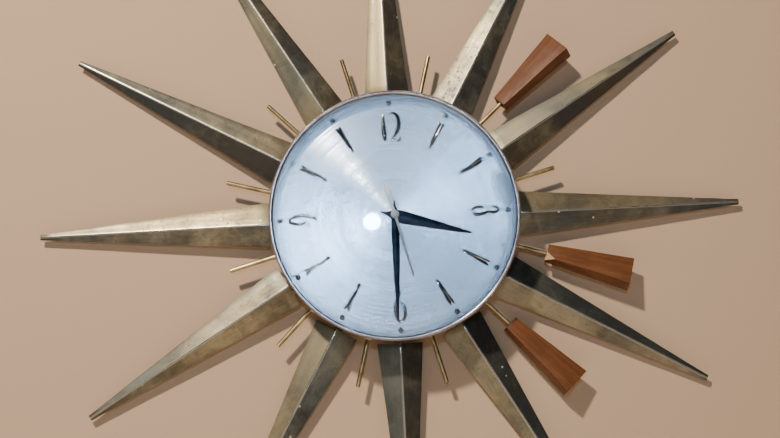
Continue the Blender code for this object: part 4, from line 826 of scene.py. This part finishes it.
def make_pan():
    """Spun steel pan: front panel, rolled shoulder, side wall and a flange with a rolled lip."""
    flange, inside = pan_radius - 0.014, pan_radius - 0.001
    pan = turned(
        "spun_pan", near(0.0, pan_front, (4.8, 0), (100, 0), (100.8, -0.3), (102.4, -0.3), (103.2, 0)) +
        near(pan_radius, pan_front, (-1.6, 0), (-0.5, -0.5), (0, -1.6)) +
        near(pan_radius, 0.0, (0, 30.0), (-0.3, 29.6), (-0.3, 28.4), (0, 28.0)) +
        near(pan_radius, pan_back, (0, 1.2), (-0.4, 0.4), (-1.2, 0)) +
        near(flange, pan_back, (0.4, 0), (0, 0.3), (0, 1.6), (0.5, 1.9), (1.0, 1.4), (1.2, 1.0)) +
        near(inside, pan_back, (-1.2, 1.0), (0, 2.0)) + near(inside, pan_front, (0, -2.4), (-1.2, -1.0)) +
        near(0.0, pan_front, (4.8, -1.0), (4.8, 0)), 144)
    hang(pan, "pan_steel", replaces=("case_pan",))


def make_bezel():
    """Plated crown with a turned line, its skirt in the pan's dark finish as painted shade below the crown,
    and the ring that spaces the dial.
    """
    crown = bezel_radius - LIP
    wall = bezel_radius - 0.0018
    join = bezel_front - 0.0040
    ring = turned(
        "bezel_ring", near(LIP, bezel_front, (0, -1.9), (0.1, -1.3), (0.5, -0.6)) +
        [(LIP + crown * share, bezel_front - drop * MM) for share, drop in (
            (0.28, 0.12), (0.42, 0), (0.60, 0.08), (0.63, 0.35), (0.67, 0.40), (0.71, 0.22), (0.84, 0.7),
            (0.95, 1.6))] +
        near(bezel_radius, bezel_front, (0, -2.7), (0, -4.0), (-1.8, -4.0), (-1.8, -1.9)) +
        near(LIP, bezel_front, (0, -1.9)), 192)
    hang(ring, "bezel_metal", replaces=("bezel",), smooth=50.0)
    rim = bezel_radius - 0.0003
    skirt = turned(
        "bezel_skirt", near(rim, join, (0, -0.1)) +
        near(rim, bezel_back, (0, 2.0), (-0.3, 1.7), (-0.3, 1.1), (0, 0.8), (-0.3, 0.1), (-0.8, 0)) +
        near(wall, bezel_back, (0.3, 0), (0, 0.4)) + near(wall, join, (0, -0.1)) +
        near(rim, join, (0, -0.1)), 144)
    # painted shade: the skirt takes the pan's dark colour to stand for the shade below the crown
    hang(skirt, "pan_steel", smooth=50.0)
    seat = glass_back - AIR
    spacer = turned("dial_spacer_ring", [
        (LIP, DIAL_FACE + AIR), (LIP, seat - 0.0006), (LIP + 0.0004, seat - 0.0001), (LIP + 0.0010, seat),
        (wall - AIR, seat), (wall - AIR, DIAL_FACE + AIR), (LIP, DIAL_FACE + AIR)], 144)
    hang(spacer, "bezel_metal", finish=SPACER)


def dome_points(rim, rise, radius, count):
    """A shallow dome's (radius, height) points from the rim in to the crown."""
    ball = (radius * radius + rise * rise) / (2 * rise)
    points = []
    for step in range(count):
        out = max(radius * cos(pi / 2 * step / (count - 1)), AXIS)
        points.append((out, rim + sqrt(ball * ball - out * out) - ball + rise))
    return points


def make_glass():
    radius = reach("glass")
    sheet = 0.0018
    rise = glass_front - glass_back - sheet
    inner = dome_points(glass_back, rise, radius, 12)
    outer = dome_points(glass_back + sheet, rise, radius, 12)
    glass = turned("domed_glass", inner[::-1][:-1] + [(radius - 0.0002, glass_back + 0.0001),
                   (radius, glass_back + 0.0004), (radius, glass_back + sheet - 0.0003)] + outer[1:], 128)
    hang(glass, "glass", replaces=("glass",), smooth=60.0)


def make_dial():
    """Brushed dial sheet with a rolled edge."""
    hole = 0.0048  # round the movement's post
    rings = [hole + (dial_radius - 0.0006 - hole) * step / 12 for step in range(13)]
    dial = turned("dial_sheet", [(hole, dial_back)] + [(radius, DIAL_FACE) for radius in rings] +
                  [(dial_radius - 0.0001, DIAL_FACE - 0.0002), (dial_radius, DIAL_FACE - 0.0004),
                   (dial_radius, dial_back), (hole, dial_back)], 192)
    hang(dial, "dial_aluminium", replaces=("dial",))


def make_dots():
    """Domed rivets with a small turned foot at the hours."""
    pattern = turned("dot_pattern", near(
        0.0, DIAL_FACE, (2.5, -0.1), (2.5, 0.25), (2.3, 0.4), (2.15, 0.45), (2.0, 0.8), (1.6, 1.2),
        (1.0, 1.4)) + [(AXIS, DIAL_FACE + 0.00148)], 28)
    for hour in HOURS:
        hang(twin(pattern, f"hour_dot_{hour:02d}"), "dial_aluminium", finish=MARKER_SILVER,
             turn=hour_turn(hour), at=(0.0, 0.104, 0.0), smooth=80.0)
    bpy.data.objects.remove(pattern)


def make_batons():
    """Hollow wedges: two facets that meet in a groove, open and notched at the outer end."""
    inner, outer = 0.0695, 0.0965
    start("baton_pattern", bpy.ops.mesh.primitive_grid_add, x_subdivisions=4, y_subdivisions=6, size=1.0)
    scale(0.0056, outer - inner)
    move(y=(inner + outer) / 2, z=DIAL_FACE + 0.0009)
    pattern = bpy.context.object
    pick("VERT", lambda at, _: True)
    shape = bmesh.from_edit_mesh(pattern.data)
    rows = sorted({round(v.co.y, 5) for v in shape.verts})
    for number, row in enumerate(rows[:-1]):
        pick("VERT", lambda at, _: abs(at.y - row) < 0.0002)
        share = number / (len(rows) - 1)
        scale(0.46 + 0.54 * share, 1.0, 1.0, about=(0.0, row, 0.0))
    # the groove deepens towards the outer end, where its floor is notched back
    pick("VERT", lambda at, _: abs(at.x) < 0.0001)
    move(z=-0.00055)
    pick("VERT", lambda at, _: abs(at.x) < 0.0001 and at.y > outer - 0.0001)
    move(y=-0.0022)
    pick("VERT", lambda at, _: 0.0001 < abs(at.x) < 0.0013 and at.y > outer - 0.0001)
    move(y=-0.0009)
    close()
    modify(pattern, "SOLIDIFY", thickness=0.0008, offset=-1.0)
    soften(pattern, 0.00012, 2, 40.0)
    for hour in (1, 2, 4, 5, 7, 8, 10, 11):
        hang(twin(pattern, f"baton_{hour:02d}"), "dial_aluminium", finish=MARKER_SILVER, turn=hour_turn(hour),
             smooth=25.0)
    bpy.data.objects.remove(pattern)


# pen strokes of the four script numerals: (x, y, half width) in mm from the hands' axis
STROKES = {
    "numeral_twelve_one": [[(-5.4, 95.8, 0.3), (-5.9, 91.0, 1.0), (-6.0, 85.5, 1.6), (-5.8, 79.0, 2.1),
                            (-5.4, 73.5, 1.8), (-5.1, 68.9, 1.0)]],
    "numeral_twelve_two": [[(0.3, 93.8, 0.5), (2.4, 94.9, 0.9), (4.9, 94.3, 1.2), (7.1, 91.6, 1.6),
                            (8.2, 87.2, 1.75), (7.8, 82.0, 1.7), (6.0, 77.4, 1.5), (3.4, 73.2, 1.2),
                            (0.9, 69.6, 0.8)],
                           [(0.7, 69.0, 0.7), (3.6, 69.3, 0.9), (6.6, 68.8, 1.0), (8.5, 69.8, 0.9),
                            (8.9, 72.4, 0.6)]],
    "numeral_three": [[(81.8, 3.2, 1.1), (78.4, 4.1, 1.15), (74.6, 4.0, 1.1), (71.6, 2.2, 1.0),
                       (71.0, -0.2, 1.0), (73.2, -2.0, 1.2), (77.4, -2.8, 1.4), (81.6, -2.0, 1.3),
                       (85.6, 0.2, 0.9)],
                      [(85.2, 0.0, 0.9), (88.4, -1.2, 1.1), (92.0, -1.4, 1.2), (94.8, 0.5, 1.0),
                       (94.6, 2.8, 0.9), (92.0, 3.8, 0.9), (88.4, 3.2, 0.6)]],
    "numeral_six": [[(2.7, -68.5, 0.8), (-0.4, -73.4, 1.1), (-2.8, -79.5, 1.3), (-3.6, -86.0, 1.4),
                     (-2.9, -92.0, 1.3), (-0.6, -96.2, 1.1), (2.2, -95.9, 1.1), (4.5, -92.4, 1.3),
                     (5.2, -87.6, 1.4), (4.2, -82.8, 1.2), (1.5, -78.6, 0.7)]],
    "numeral_nine": [[(-70.4, -0.6, 0.9), (-74.8, 1.9, 1.2), (-79.6, 3.4, 1.3), (-85.2, 4.0, 1.3),
                      (-90.8, 3.2, 1.2), (-94.9, 1.2, 1.0), (-95.4, -1.2, 1.0), (-92.4, -3.0, 1.1),
                      (-88.0, -3.8, 1.3), (-83.6, -3.2, 1.2), (-80.2, -0.8, 0.7)]],
}
STROKE_SWELL = 1.2  # real strokes are this much fuller than their drawn line


def make_numerals():
    """Script numerals pressed from thin sheet: round-backed strokes that swell and thin like a pen's."""
    for name, strokes in STROKES.items():
        curve = bpy.data.curves.new(name, "CURVE")
        curve.dimensions = "3D"
        curve.bevel_depth = MM
        curve.bevel_resolution = 4
        curve.use_fill_caps = True
        curve.resolution_u = 6
        for stroke in strokes:
            spline = curve.splines.new("BEZIER")
            spline.bezier_points.add(len(stroke) - 1)
            for point, (x, y, half_width) in zip(spline.bezier_points, stroke):
                point.co = (x * MM, y * MM, 0.0)
                point.radius = half_width * STROKE_SWELL
                point.handle_left_type = point.handle_right_type = "AUTO"
        piece = converted(name, curve)
        reopen(piece)
        bpy.ops.mesh.select_all(action="SELECT")
        scale(1.0, 1.0, 0.75)
        move(z=DIAL_FACE + 0.0001)
        bpy.ops.mesh.bisect(plane_co=(0.0, 0.0, DIAL_FACE - 0.0002), plane_no=(0.0, 0.0, -1.0),
                            clear_outer=True, use_fill=True)
        close()
        hang(piece, "dial_aluminium", finish=MARKER_SILVER, smooth=60.0)


make_pan()
make_bezel()
make_glass()
make_dial()
make_dots()
make_batons()
make_numerals()

# ------------------------------------------------------------------------------ hands
HOUR_HAND_TURN, MINUTE_HAND_TURN, SECOND_HAND_TURN = -105.7, -181.2, -166.0


def make_ridged_hand(name, node, body, rows, turn, hub):
    """A pointer folded along its middle; rows are (distance from the hub, half width, ridge height)."""
    back, _ = depths(node)
    start(name, bpy.ops.mesh.primitive_grid_add, x_subdivisions=2, y_subdivisions=1, size=1.0)
    piece = bpy.context.object
    first, second = rows[0], rows[1]
    scale(2 * first[1], second[0] - first[0])
    move(y=(first[0] + second[0]) / 2, z=back + 0.0004)
    pick("VERT", lambda at, _: at.y > second[0] - WELD)
    scale(second[1] / first[1], 1.0, 1.0, about=(0.0, second[0], 0.0))
    last = second
    for row in rows[2:]:
        pick("VERT", lambda at, _: at.y > last[0] - WELD)
        extrude(y=row[0] - last[0])
        scale(row[1] / last[1], 1.0, 1.0, about=(0.0, row[0], 0.0))
        last = row
    for distance, _, ridge in rows:
        pick("VERT", lambda at, _: abs(at.x) < WELD and abs(at.y - distance) < WELD)
        move(z=ridge)
    close()
    modify(piece, "SOLIDIFY", thickness=0.00045, offset=-1.0)
    soften(piece, 0.00012, 2, 15.0)
    bore = start(f"{name}_bore", bpy.ops.mesh.primitive_cylinder_add, vertices=32, radius=hub - 0.0009,
                 depth=0.01, location=(0.0, 0.0, back))
    close()
    carve(piece, bore)
    hang(piece, "hand_steel", body, (node,), turn, smooth=10.0)
    collet = turned(f"{name}_collet", near(
        hub, back, (-0.9, -0.4), (0, -0.4), (0.6, 0.3), (0.6, 1.2), (0.2, 1.5), (-0.9, 1.5),
        (-0.9, -0.4)), 40)
    hang(collet, "hand_steel", body)


def make_second_hand():
    """Flat white pointer with a leaf-shaped counterweight, and its domed cap."""
    back, front = depths("second_hand")
    back += AIR
    right = [(0.0003, -0.0295), (0.0014, -0.0272), (0.0023, -0.0248), (0.0025, -0.0230), (0.0022, -0.0205),
             (0.0016, -0.0178), (0.0011, -0.0153), (0.0010, -0.0080), (0.0015, 0.0), (0.0012, 0.0060),
             (0.0010, 0.0300), (0.0005, 0.0570)]
    outline = right + [(-x, y) for x, y in reversed(right)]
    pointer = cut_sheet("second_pointer", [outline], back, 0.0005)
    soften(pointer, 0.00012, 2, 40.0)
    hang(pointer, "second_white", "seconds_arbor", ("second_hand",),
         SECOND_HAND_TURN)
    cap = turned("second_cap", near(
        0.0, back, (1.6, -0.2), (3.6, -0.2), (3.8, 0.2), (3.8, 0.6), (3.5, 1.0)) +
        near(0.0, front, (2.8, -0.3), (1.8, -0.05)) + [(AXIS, front)], 40)
    hang(cap, "second_white", "seconds_arbor", smooth=60.0)


def make_dial_nut():
    """The round slotted nut that clamps dial and pan to the movement's post."""
    back, front = depths("dial_nut")
    nut = turned("dial_nut_slotted", near(0.0, back, (4.6, 0), (5.5, 0), (5.8, 0.3)) + near(
        0.0, front, (5.8, -0.4), (5.4, 0), (4.9, 0), (4.6, -0.3)) + near(0.0, back, (4.6, 0)), 48)
    slots = start("nut_slots", bpy.ops.mesh.primitive_cube_add, size=1.0, location=(0.0, 0.0, front))
    scale(0.03, 0.0014, 0.0018, about=(0.0, 0.0, front))
    close()
    carve(nut, slots)
    hang(nut, "wheel_brass", replaces=("dial_nut",), finish=FINISHES["plated_steel"])


make_ridged_hand("hour_pointer", "hour_hand", "hour_barrel",
                 [(-0.0137, 0.0004, 0.0), (-0.0100, 0.0008, 0.0002), (-0.0060, 0.0021, 0.0005),
                  (-0.0010, 0.0046, 0.0008), (0.0060, 0.0058, 0.0011), (0.0370, 0.0035, 0.0008),
                  (0.0530, 0.0022, 0.0005), (0.0714, 0.0007, 0.0001)], HOUR_HAND_TURN, 0.0038)
make_ridged_hand("minute_pointer", "minute_hand", "centre_arbor",
                 [(-0.0134, 0.0003, 0.0), (-0.0080, 0.0012, 0.0003), (-0.0020, 0.0028, 0.0006),
                  (0.0070, 0.0034, 0.0008), (0.0180, 0.00365, 0.0008), (0.0330, 0.0033, 0.0007),
                  (0.0550, 0.0026, 0.0006), (0.0790, 0.0016, 0.0004), (0.0955, 0.0006, 0.0001)],
                 MINUTE_HAND_TURN, 0.0028)
make_second_hand()
make_dial_nut()

# ------------------------------------------------------------------------------ hanger, brackets, screws
FOOT_BACK = 0.0015
FOOT_SHEET = 0.0012


def screw_pattern(name, radius, height, shank):
    """A pan-head screw that points towards the viewer, its crossed slot towards the wall."""
    screw = turned(name, [
        (AXIS, 0.0), (radius * 0.6, 0.00002), (radius * 0.86, height * 0.25), (radius, height * 0.7),
        (radius, height), (shank, height), (shank, height + 0.003), (AXIS, height + 0.003)], 28)
    tools = []
    for turn in (0.0, 90.0):
        tool = start(f"{name}_slot", bpy.ops.mesh.primitive_cube_add, size=1.0,
                     rotation=(0.0, 0.0, radians(turn)))
        close()
        tool.data.transform(Matrix.Rotation(radians(turn), 4, "Z") @
                            Matrix.Diagonal((radius * 1.25, radius * 0.26, height * 1.1, 1.0)))
        tools.append(tool)
    carve(screw, *tools)
    return screw


def make_brackets():
    """Bent straps that carry the rays: foot under the pan's flange, riser, arm under the ridge."""
    foot = pan_radius - 0.0137
    riser = (pan_radius + RAY_ROOT) / 2
    arm_start, arm_end = RAY_ROOT + 0.004, RAY_ROOT + 0.034
    top = FOOT_BACK + FOOT_SHEET / 2
    under = RAY_SHEET + FOLD * 0.006 + FOOT_SHEET * 0.6
    start("bracket_pattern", bpy.ops.mesh.primitive_plane_add, size=1.0)
    scale(0.012, riser - foot)
    move(y=(riser + foot) / 2, z=top)
    pick("EDGE", lambda at, along: at.y > riser - WELD)
    extrude(z=ridge_height(riser) - under - 0.0012 - top)
    extrude(y=arm_start - riser, z=0.0012)
    extrude(y=arm_end - arm_start, z=ridge_height(arm_end) - ridge_height(arm_start))
    pattern = bpy.context.object
    pick("EDGE", lambda at, along: abs(along.x) > 0.9 and abs(at.y - riser) < WELD)
    bevel(0.0016, 4)
    pick("VERT", lambda at, _: at.y < foot + WELD or at.y > arm_end - WELD)
    bevel(0.0035, 4, "VERTICES")
    close()
    repair(pattern)
    modify(pattern, "SOLIDIFY", thickness=FOOT_SHEET, offset=0.0)
    soften(pattern, 0.0002, 2, 40.0)
    screw = screw_pattern("ray_screw_pattern", 0.0026, FOOT_BACK - AIR, 0.0014)
    for hour in HOURS:
        turn = hour_turn(hour)
        hang(twin(pattern, f"ray_bracket_{hour:02d}"), "ray_brass", turn=turn,
             finish=FINISHES["plated_steel"])
        hang(twin(screw, f"ray_screw_{hour:02d}"), "plated_steel", turn=turn,
             at=(0.0, foot + 0.0065, AIR))
    bpy.data.objects.remove(pattern)
    bpy.data.objects.remove(screw)


def make_hanger():
    """Steel strap with a keyhole and rounded ends, screws above and below."""
    low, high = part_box("hanger_strap")
    back, front = depths("hanger_strap")
    key = 0.082
    round_end = 0.004
    outline = []
    for x, y, first in ((high.x, high.z, 0), (low.x, high.z, 90), (low.x, low.z, 180), (high.x, low.z, 270)):
        centre = (x - round_end * (1 if x > 0 else -1), y - round_end * (1 if y > 0.05 else -1))
        outline += [polar(round_end, first + 15 * step, centre) for step in range(7)]
    keyhole = [polar(0.0045, turn, (0.0, key)) for turn in range(130, 411, 14)]
    keyhole += [polar(0.0022, turn, (0.0, key + 0.010)) for turn in range(0, 181, 18)]
    holes = [circle(0.0032, (0.0, -0.007), 28)] + [circle(0.0026, (x, 0.105), 24) for x in (-0.006, 0.006)]
    strap = cut_sheet("hanger_plate", [outline, keyhole] + holes, back, front - back)
    soften(strap, 0.0002, 2, 50.0)
    hang(strap, "plated_steel", replaces=("hanger_strap",))
    for number, (x, y, radius) in enumerate(((0.0, -0.007, 0.0030), (-0.006, 0.105, 0.0024),
                                             (0.006, 0.105, 0.0024))):
        screw = screw_pattern(f"hanger_screw_{number}", radius, 0.0010, radius * 0.5)
        hang(screw, "plated_steel", at=(x, y, 0.0001))


def make_bumpers():
    for side in ("left", "right"):
        x, y = middle(f"bumper_{side}")
        back, front = depths(f"bumper_{side}")
        foot = turned(
            f"rubber_foot_{side}", [(AXIS, back)] + near(0.0, back, (3.4, 0), (4.1, 0.3), (4.5, 1.0)) +
            near(0.0, front, (4.5, -0.4), (4.2, 0)) + [(AXIS, front)], 36)
        hang(foot, "rubber", replaces=(f"bumper_{side}",), at=(x, y, 0.0))


make_brackets()
make_hanger()
make_bumpers()

# ------------------------------------------------------------------------------ movement and battery
def make_rear_cover():
    """Moulded dust cover: softened edges, a sunk panel, a slot with its scale."""
    low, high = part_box("rear_cover")
    _, front = depths("rear_cover")
    back = 0.0088
    wall = 0.0015
    centre = ((low.x + high.x) / 2, (low.z + high.z) / 2)
    size = (high.x - low.x, high.z - low.z)
    cover = block("dust_cover", (*size, front - back), (*centre, (front + back) / 2))
    pick("EDGE", lambda at, along: abs(along.z) > 0.9)
    bevel(0.0030, 4)
    pick("FACE", lambda at, normal: normal.z < -0.9)
    bpy.ops.mesh.inset(thickness=0.0034)
    extrude(z=0.0005)
    pick("FACE", lambda at, normal: normal.z > 0.9 and at.z > front - WELD)
    bpy.ops.mesh.inset(thickness=wall)
    extrude(z=-(front - back - wall - 0.0005))
    close()
    repair(cover)
    soften(cover, 0.0005, 2, 40.0)
    swing_x, _ = middle("regulator")
    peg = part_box("regulator")[1].z - 0.0008
    slot = block("slot_tool", (0.0086, 0.0030, 0.006), (swing_x, peg - 0.0005, back))
    pick("EDGE", lambda at, along: abs(along.z) > 0.9)
    bevel(0.0014, 4)
    close()
    knob_x, knob_y = middle("setting_knob")
    hole = start("hole_tool", bpy.ops.mesh.primitive_cylinder_add, vertices=32, radius=0.0014, depth=0.006,
                 location=(knob_x, knob_y, back))
    close()
    carve(cover, slot, hole)
    hang(cover, "moulding", replaces=("rear_cover",))
    for number in range(7):
        tick = block(f"rate_mark_{number}", (0.00035, 0.0016 if number == 3 else 0.0010, 0.0003),
                     (swing_x + 0.0012 * (number - 3), peg + 0.0026, back + 0.00045))
        close()
        soften(tick, 0.00005, 1)
        hang(tick, "moulding")
    boss = turned("strap_boss", [
        (0.0035, 0.0015), (0.0035, back - 0.0006), (0.0042, back + 0.0006), (0.0016, back + 0.0006),
        (0.0016, 0.0015), (0.0035, 0.0015)], 36)
    hang(boss, "moulding", at=(0.0, -0.007, 0.0))
    screw = screw_pattern("cover_screw_pattern", 0.0017, 0.0008, 0.0009)
    corner = 0.0062
    places = [(x, y) for x in (low.x + corner, high.x - corner) for y in (low.z + corner, high.z - corner)]
    for number, (x, y) in enumerate(places):
        hang(twin(screw, f"cover_screw_{number}"), "plated_steel",
             at=(x, y, back - 0.0002))
    bpy.data.objects.remove(screw)


def make_knob_cap():
    """Knurled grip round the setting knob, with a recessed face."""
    x, y = middle("setting_knob")
    back, _ = depths("setting_knob")
    cap = start("setting_grip", bpy.ops.mesh.primitive_cylinder_add, vertices=48, radius=0.0063, depth=0.0037,
                location=(0.0, 0.0, back + 0.0017))
    pick("FACE", lambda at, normal: normal.z < -0.9)
    bpy.ops.mesh.inset(thickness=0.0012)
    extrude(z=0.0007)
    bpy.ops.mesh.inset(thickness=0.0030)
    extrude(z=-0.0004)
    pick("FACE", lambda at, normal: abs(normal.z) < 0.2 and hypot(at.x, at.y) > 0.0060 and
         int(round((atan2(at.y, at.x) / tau) * 48 - 0.5)) % 2 == 0)
    bpy.ops.mesh.inset(thickness=0.00012, use_individual=True)
    bpy.ops.transform.shrink_fatten(value=0.00028)
    close()
    repair(cap)
    hang(cap, "moulding", "setting_arbor", at=(x, y, 0.0), smooth=25.0)


def make_holder():
    """Moulded tray for the cell, open towards the wall, with softened edges and a finger scoop."""
    low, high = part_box("battery_holder")
    back, front = depths("battery_holder")
    size = (high.x - low.x, high.z - low.z)
    centre = ((low.x + high.x) / 2, (low.z + high.z) / 2)
    wall = 0.002
    tray = block("cell_tray", (*size, front - back), (*centre, (front + back) / 2))
    pick("FACE", lambda at, normal: normal.z < -0.9)
    bpy.ops.mesh.inset(thickness=wall)
    extrude(z=front - back - wall)
    close()
    repair(tray)
    soften(tray, 0.0006, 3, 40.0)
    scoop = start("scoop_tool", bpy.ops.mesh.primitive_cylinder_add, vertices=40, radius=0.011, depth=0.012,
                  rotation=(radians(90), 0.0, 0.0), location=(centre[0], low.z, back - 0.002))
    close()
    carve(tray, scoop)
    hang(tray, "moulding", replaces=("battery_holder",))


def make_cell():
    """Plain C cell: sleeve with a rolled edge at each end, bright end discs and a raised positive cap."""
    low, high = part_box("battery_cell")
    radius = (high.z - low.z) / 2
    y = (high.z + low.z) / 2
    height = -(low.y + high.y) / 2
    x0, x1 = low.x, high.x
    upright = Matrix.Translation((0.0, y, height)) @ Matrix.Rotation(radians(90), 4, "Y")
    body = turned("cell_sleeve", near(
        radius, x1, (-1.8, -0.8), (-1.4, -0.2), (-0.6, 0), (-0.1, -0.3), (0, -1.0)) + near(
        radius, x0, (0, 3.2), (-0.3, 2.4), (-1.0, 2.0), (-1.8, 2.4)), 64)
    body.data.transform(upright)
    hang(body, "cell_wrap", "cell", ("battery_cell",))
    plus = turned("cell_positive_end", near(radius, x0, (-1.2, 2.6)) + near(
        0.0, x0, (6.2, 2.4), (3.6, 2.1), (3.2, 0.4), (2.7, 0)) + [(AXIS, x0)], 48)
    plus.data.transform(upright)
    hang(plus, "plated_steel", "cell")
    minus = turned("cell_negative_end", near(radius, x1, (-1.2, -0.6)) + near(
        0.0, x1, (8.0, -0.6), (7.4, -0.2), (2.0, -0.2), (1.4, -0.5)) + [(AXIS, x1 - 0.0005)], 48)
    minus.data.transform(upright)
    hang(minus, "plated_steel", "cell")


make_rear_cover()
make_knob_cap()
make_holder()
make_cell()

# ------------------------------------------------------------------------------ stage, lights, camera
def plain(name, colour, see_through_behind=False):
    """Matt paper for the stage; the backdrop lets the view through from behind."""
    paper = Finish(name, Base_Color=colour, Roughness=0.9)
    grain = paper.noise(paper.place(), 0.0025, 4.0, 0.6)
    paper.bump(grain, 0.08, 0.0002)
    if see_through_behind:
        behind = paper.node("ShaderNodeNewGeometry", out="Backfacing")
        clear = paper.node("ShaderNodeBsdfTransparent")
        front = Value(paper, paper.shader.outputs[0])
        mixed = paper.node("ShaderNodeMixShader", None, {0: behind, 1: front, 2: clear})
        paper.tree.links.new(mixed.socket, paper.tree.nodes["Material Output"].inputs["Surface"])
    return paper.material


def make_stage():
    bpy.ops.mesh.primitive_plane_add(size=5.0, location=(0.0, 0.0005, 0.0), rotation=(radians(90), 0.0, 0.0))
    wall = bpy.context.object
    wall.name = "backdrop"
    wall.visible_shadow = False  # the rear lamp reaches the back of the clock
    wall.data.materials.append(plain("backdrop_paper", (0.50, 0.355, 0.235), True))
    bpy.ops.mesh.primitive_plane_add(size=6.0, location=(0.0, 0.0, -0.55))
    floor = bpy.context.object
    floor.name = "floor"
    floor.data.materials.append(plain("floor_paper", (0.66, 0.58, 0.50)))


def lamp(name, place, size, power, colour):
    """A round soft lamp aimed at the hands."""
    data = bpy.data.lights.new(name, "AREA")
    data.shape = "DISK"
    data.size = size
    data.energy = power
    data.color = colour
    light = link(name, data)
    light.location = place
    light.rotation_euler = (-Vector(place)).to_track_quat("-Z", "Y").to_euler()


def make_lights():
    lamp("key_lamp", (-0.62, -1.35, 1.05), 0.12, 44.0, (1.0, 0.87, 0.73))
    lamp("cool_lamp", (-0.079, -1.49, 0.125), 0.10, 4.6, (0.55, 0.76, 1.0))
    lamp("left_softbox", (-1.9, -0.9, -0.25), 1.0, 1.6, (1.0, 0.90, 0.80))
    lamp("rear_lamp", (0.9, 1.4, 1.1), 0.9, 26.0, (1.0, 0.97, 0.93))
    world = bpy.data.worlds.new("studio")
    world.use_nodes = True
    world.node_tree.nodes["Background"].inputs["Color"].default_value = (0.80, 0.82, 0.86, 1.0)
    world.node_tree.nodes["Background"].inputs["Strength"].default_value = 0.035
    bpy.context.scene.world = world


def make_camera():
    """The eye is a little below and left of the clock, leaning by three degrees."""
    data = bpy.data.cameras.new("eye")
    data.sensor_width = 36.0
    data.lens = 55.4
    camera = link("eye", data)
    right, up = (0.99809, -0.03229, -0.05274), (0.04869, -0.11529, 0.99214)
    back = (-0.03812, -0.99281, -0.11349)
    turn = Matrix((right, up, back)).transposed().to_4x4()
    camera.matrix_world = Matrix.Translation((-0.046, -1.1285, -0.127)) @ turn
    bpy.context.scene.camera = camera


make_stage()
make_lights()
make_camera()
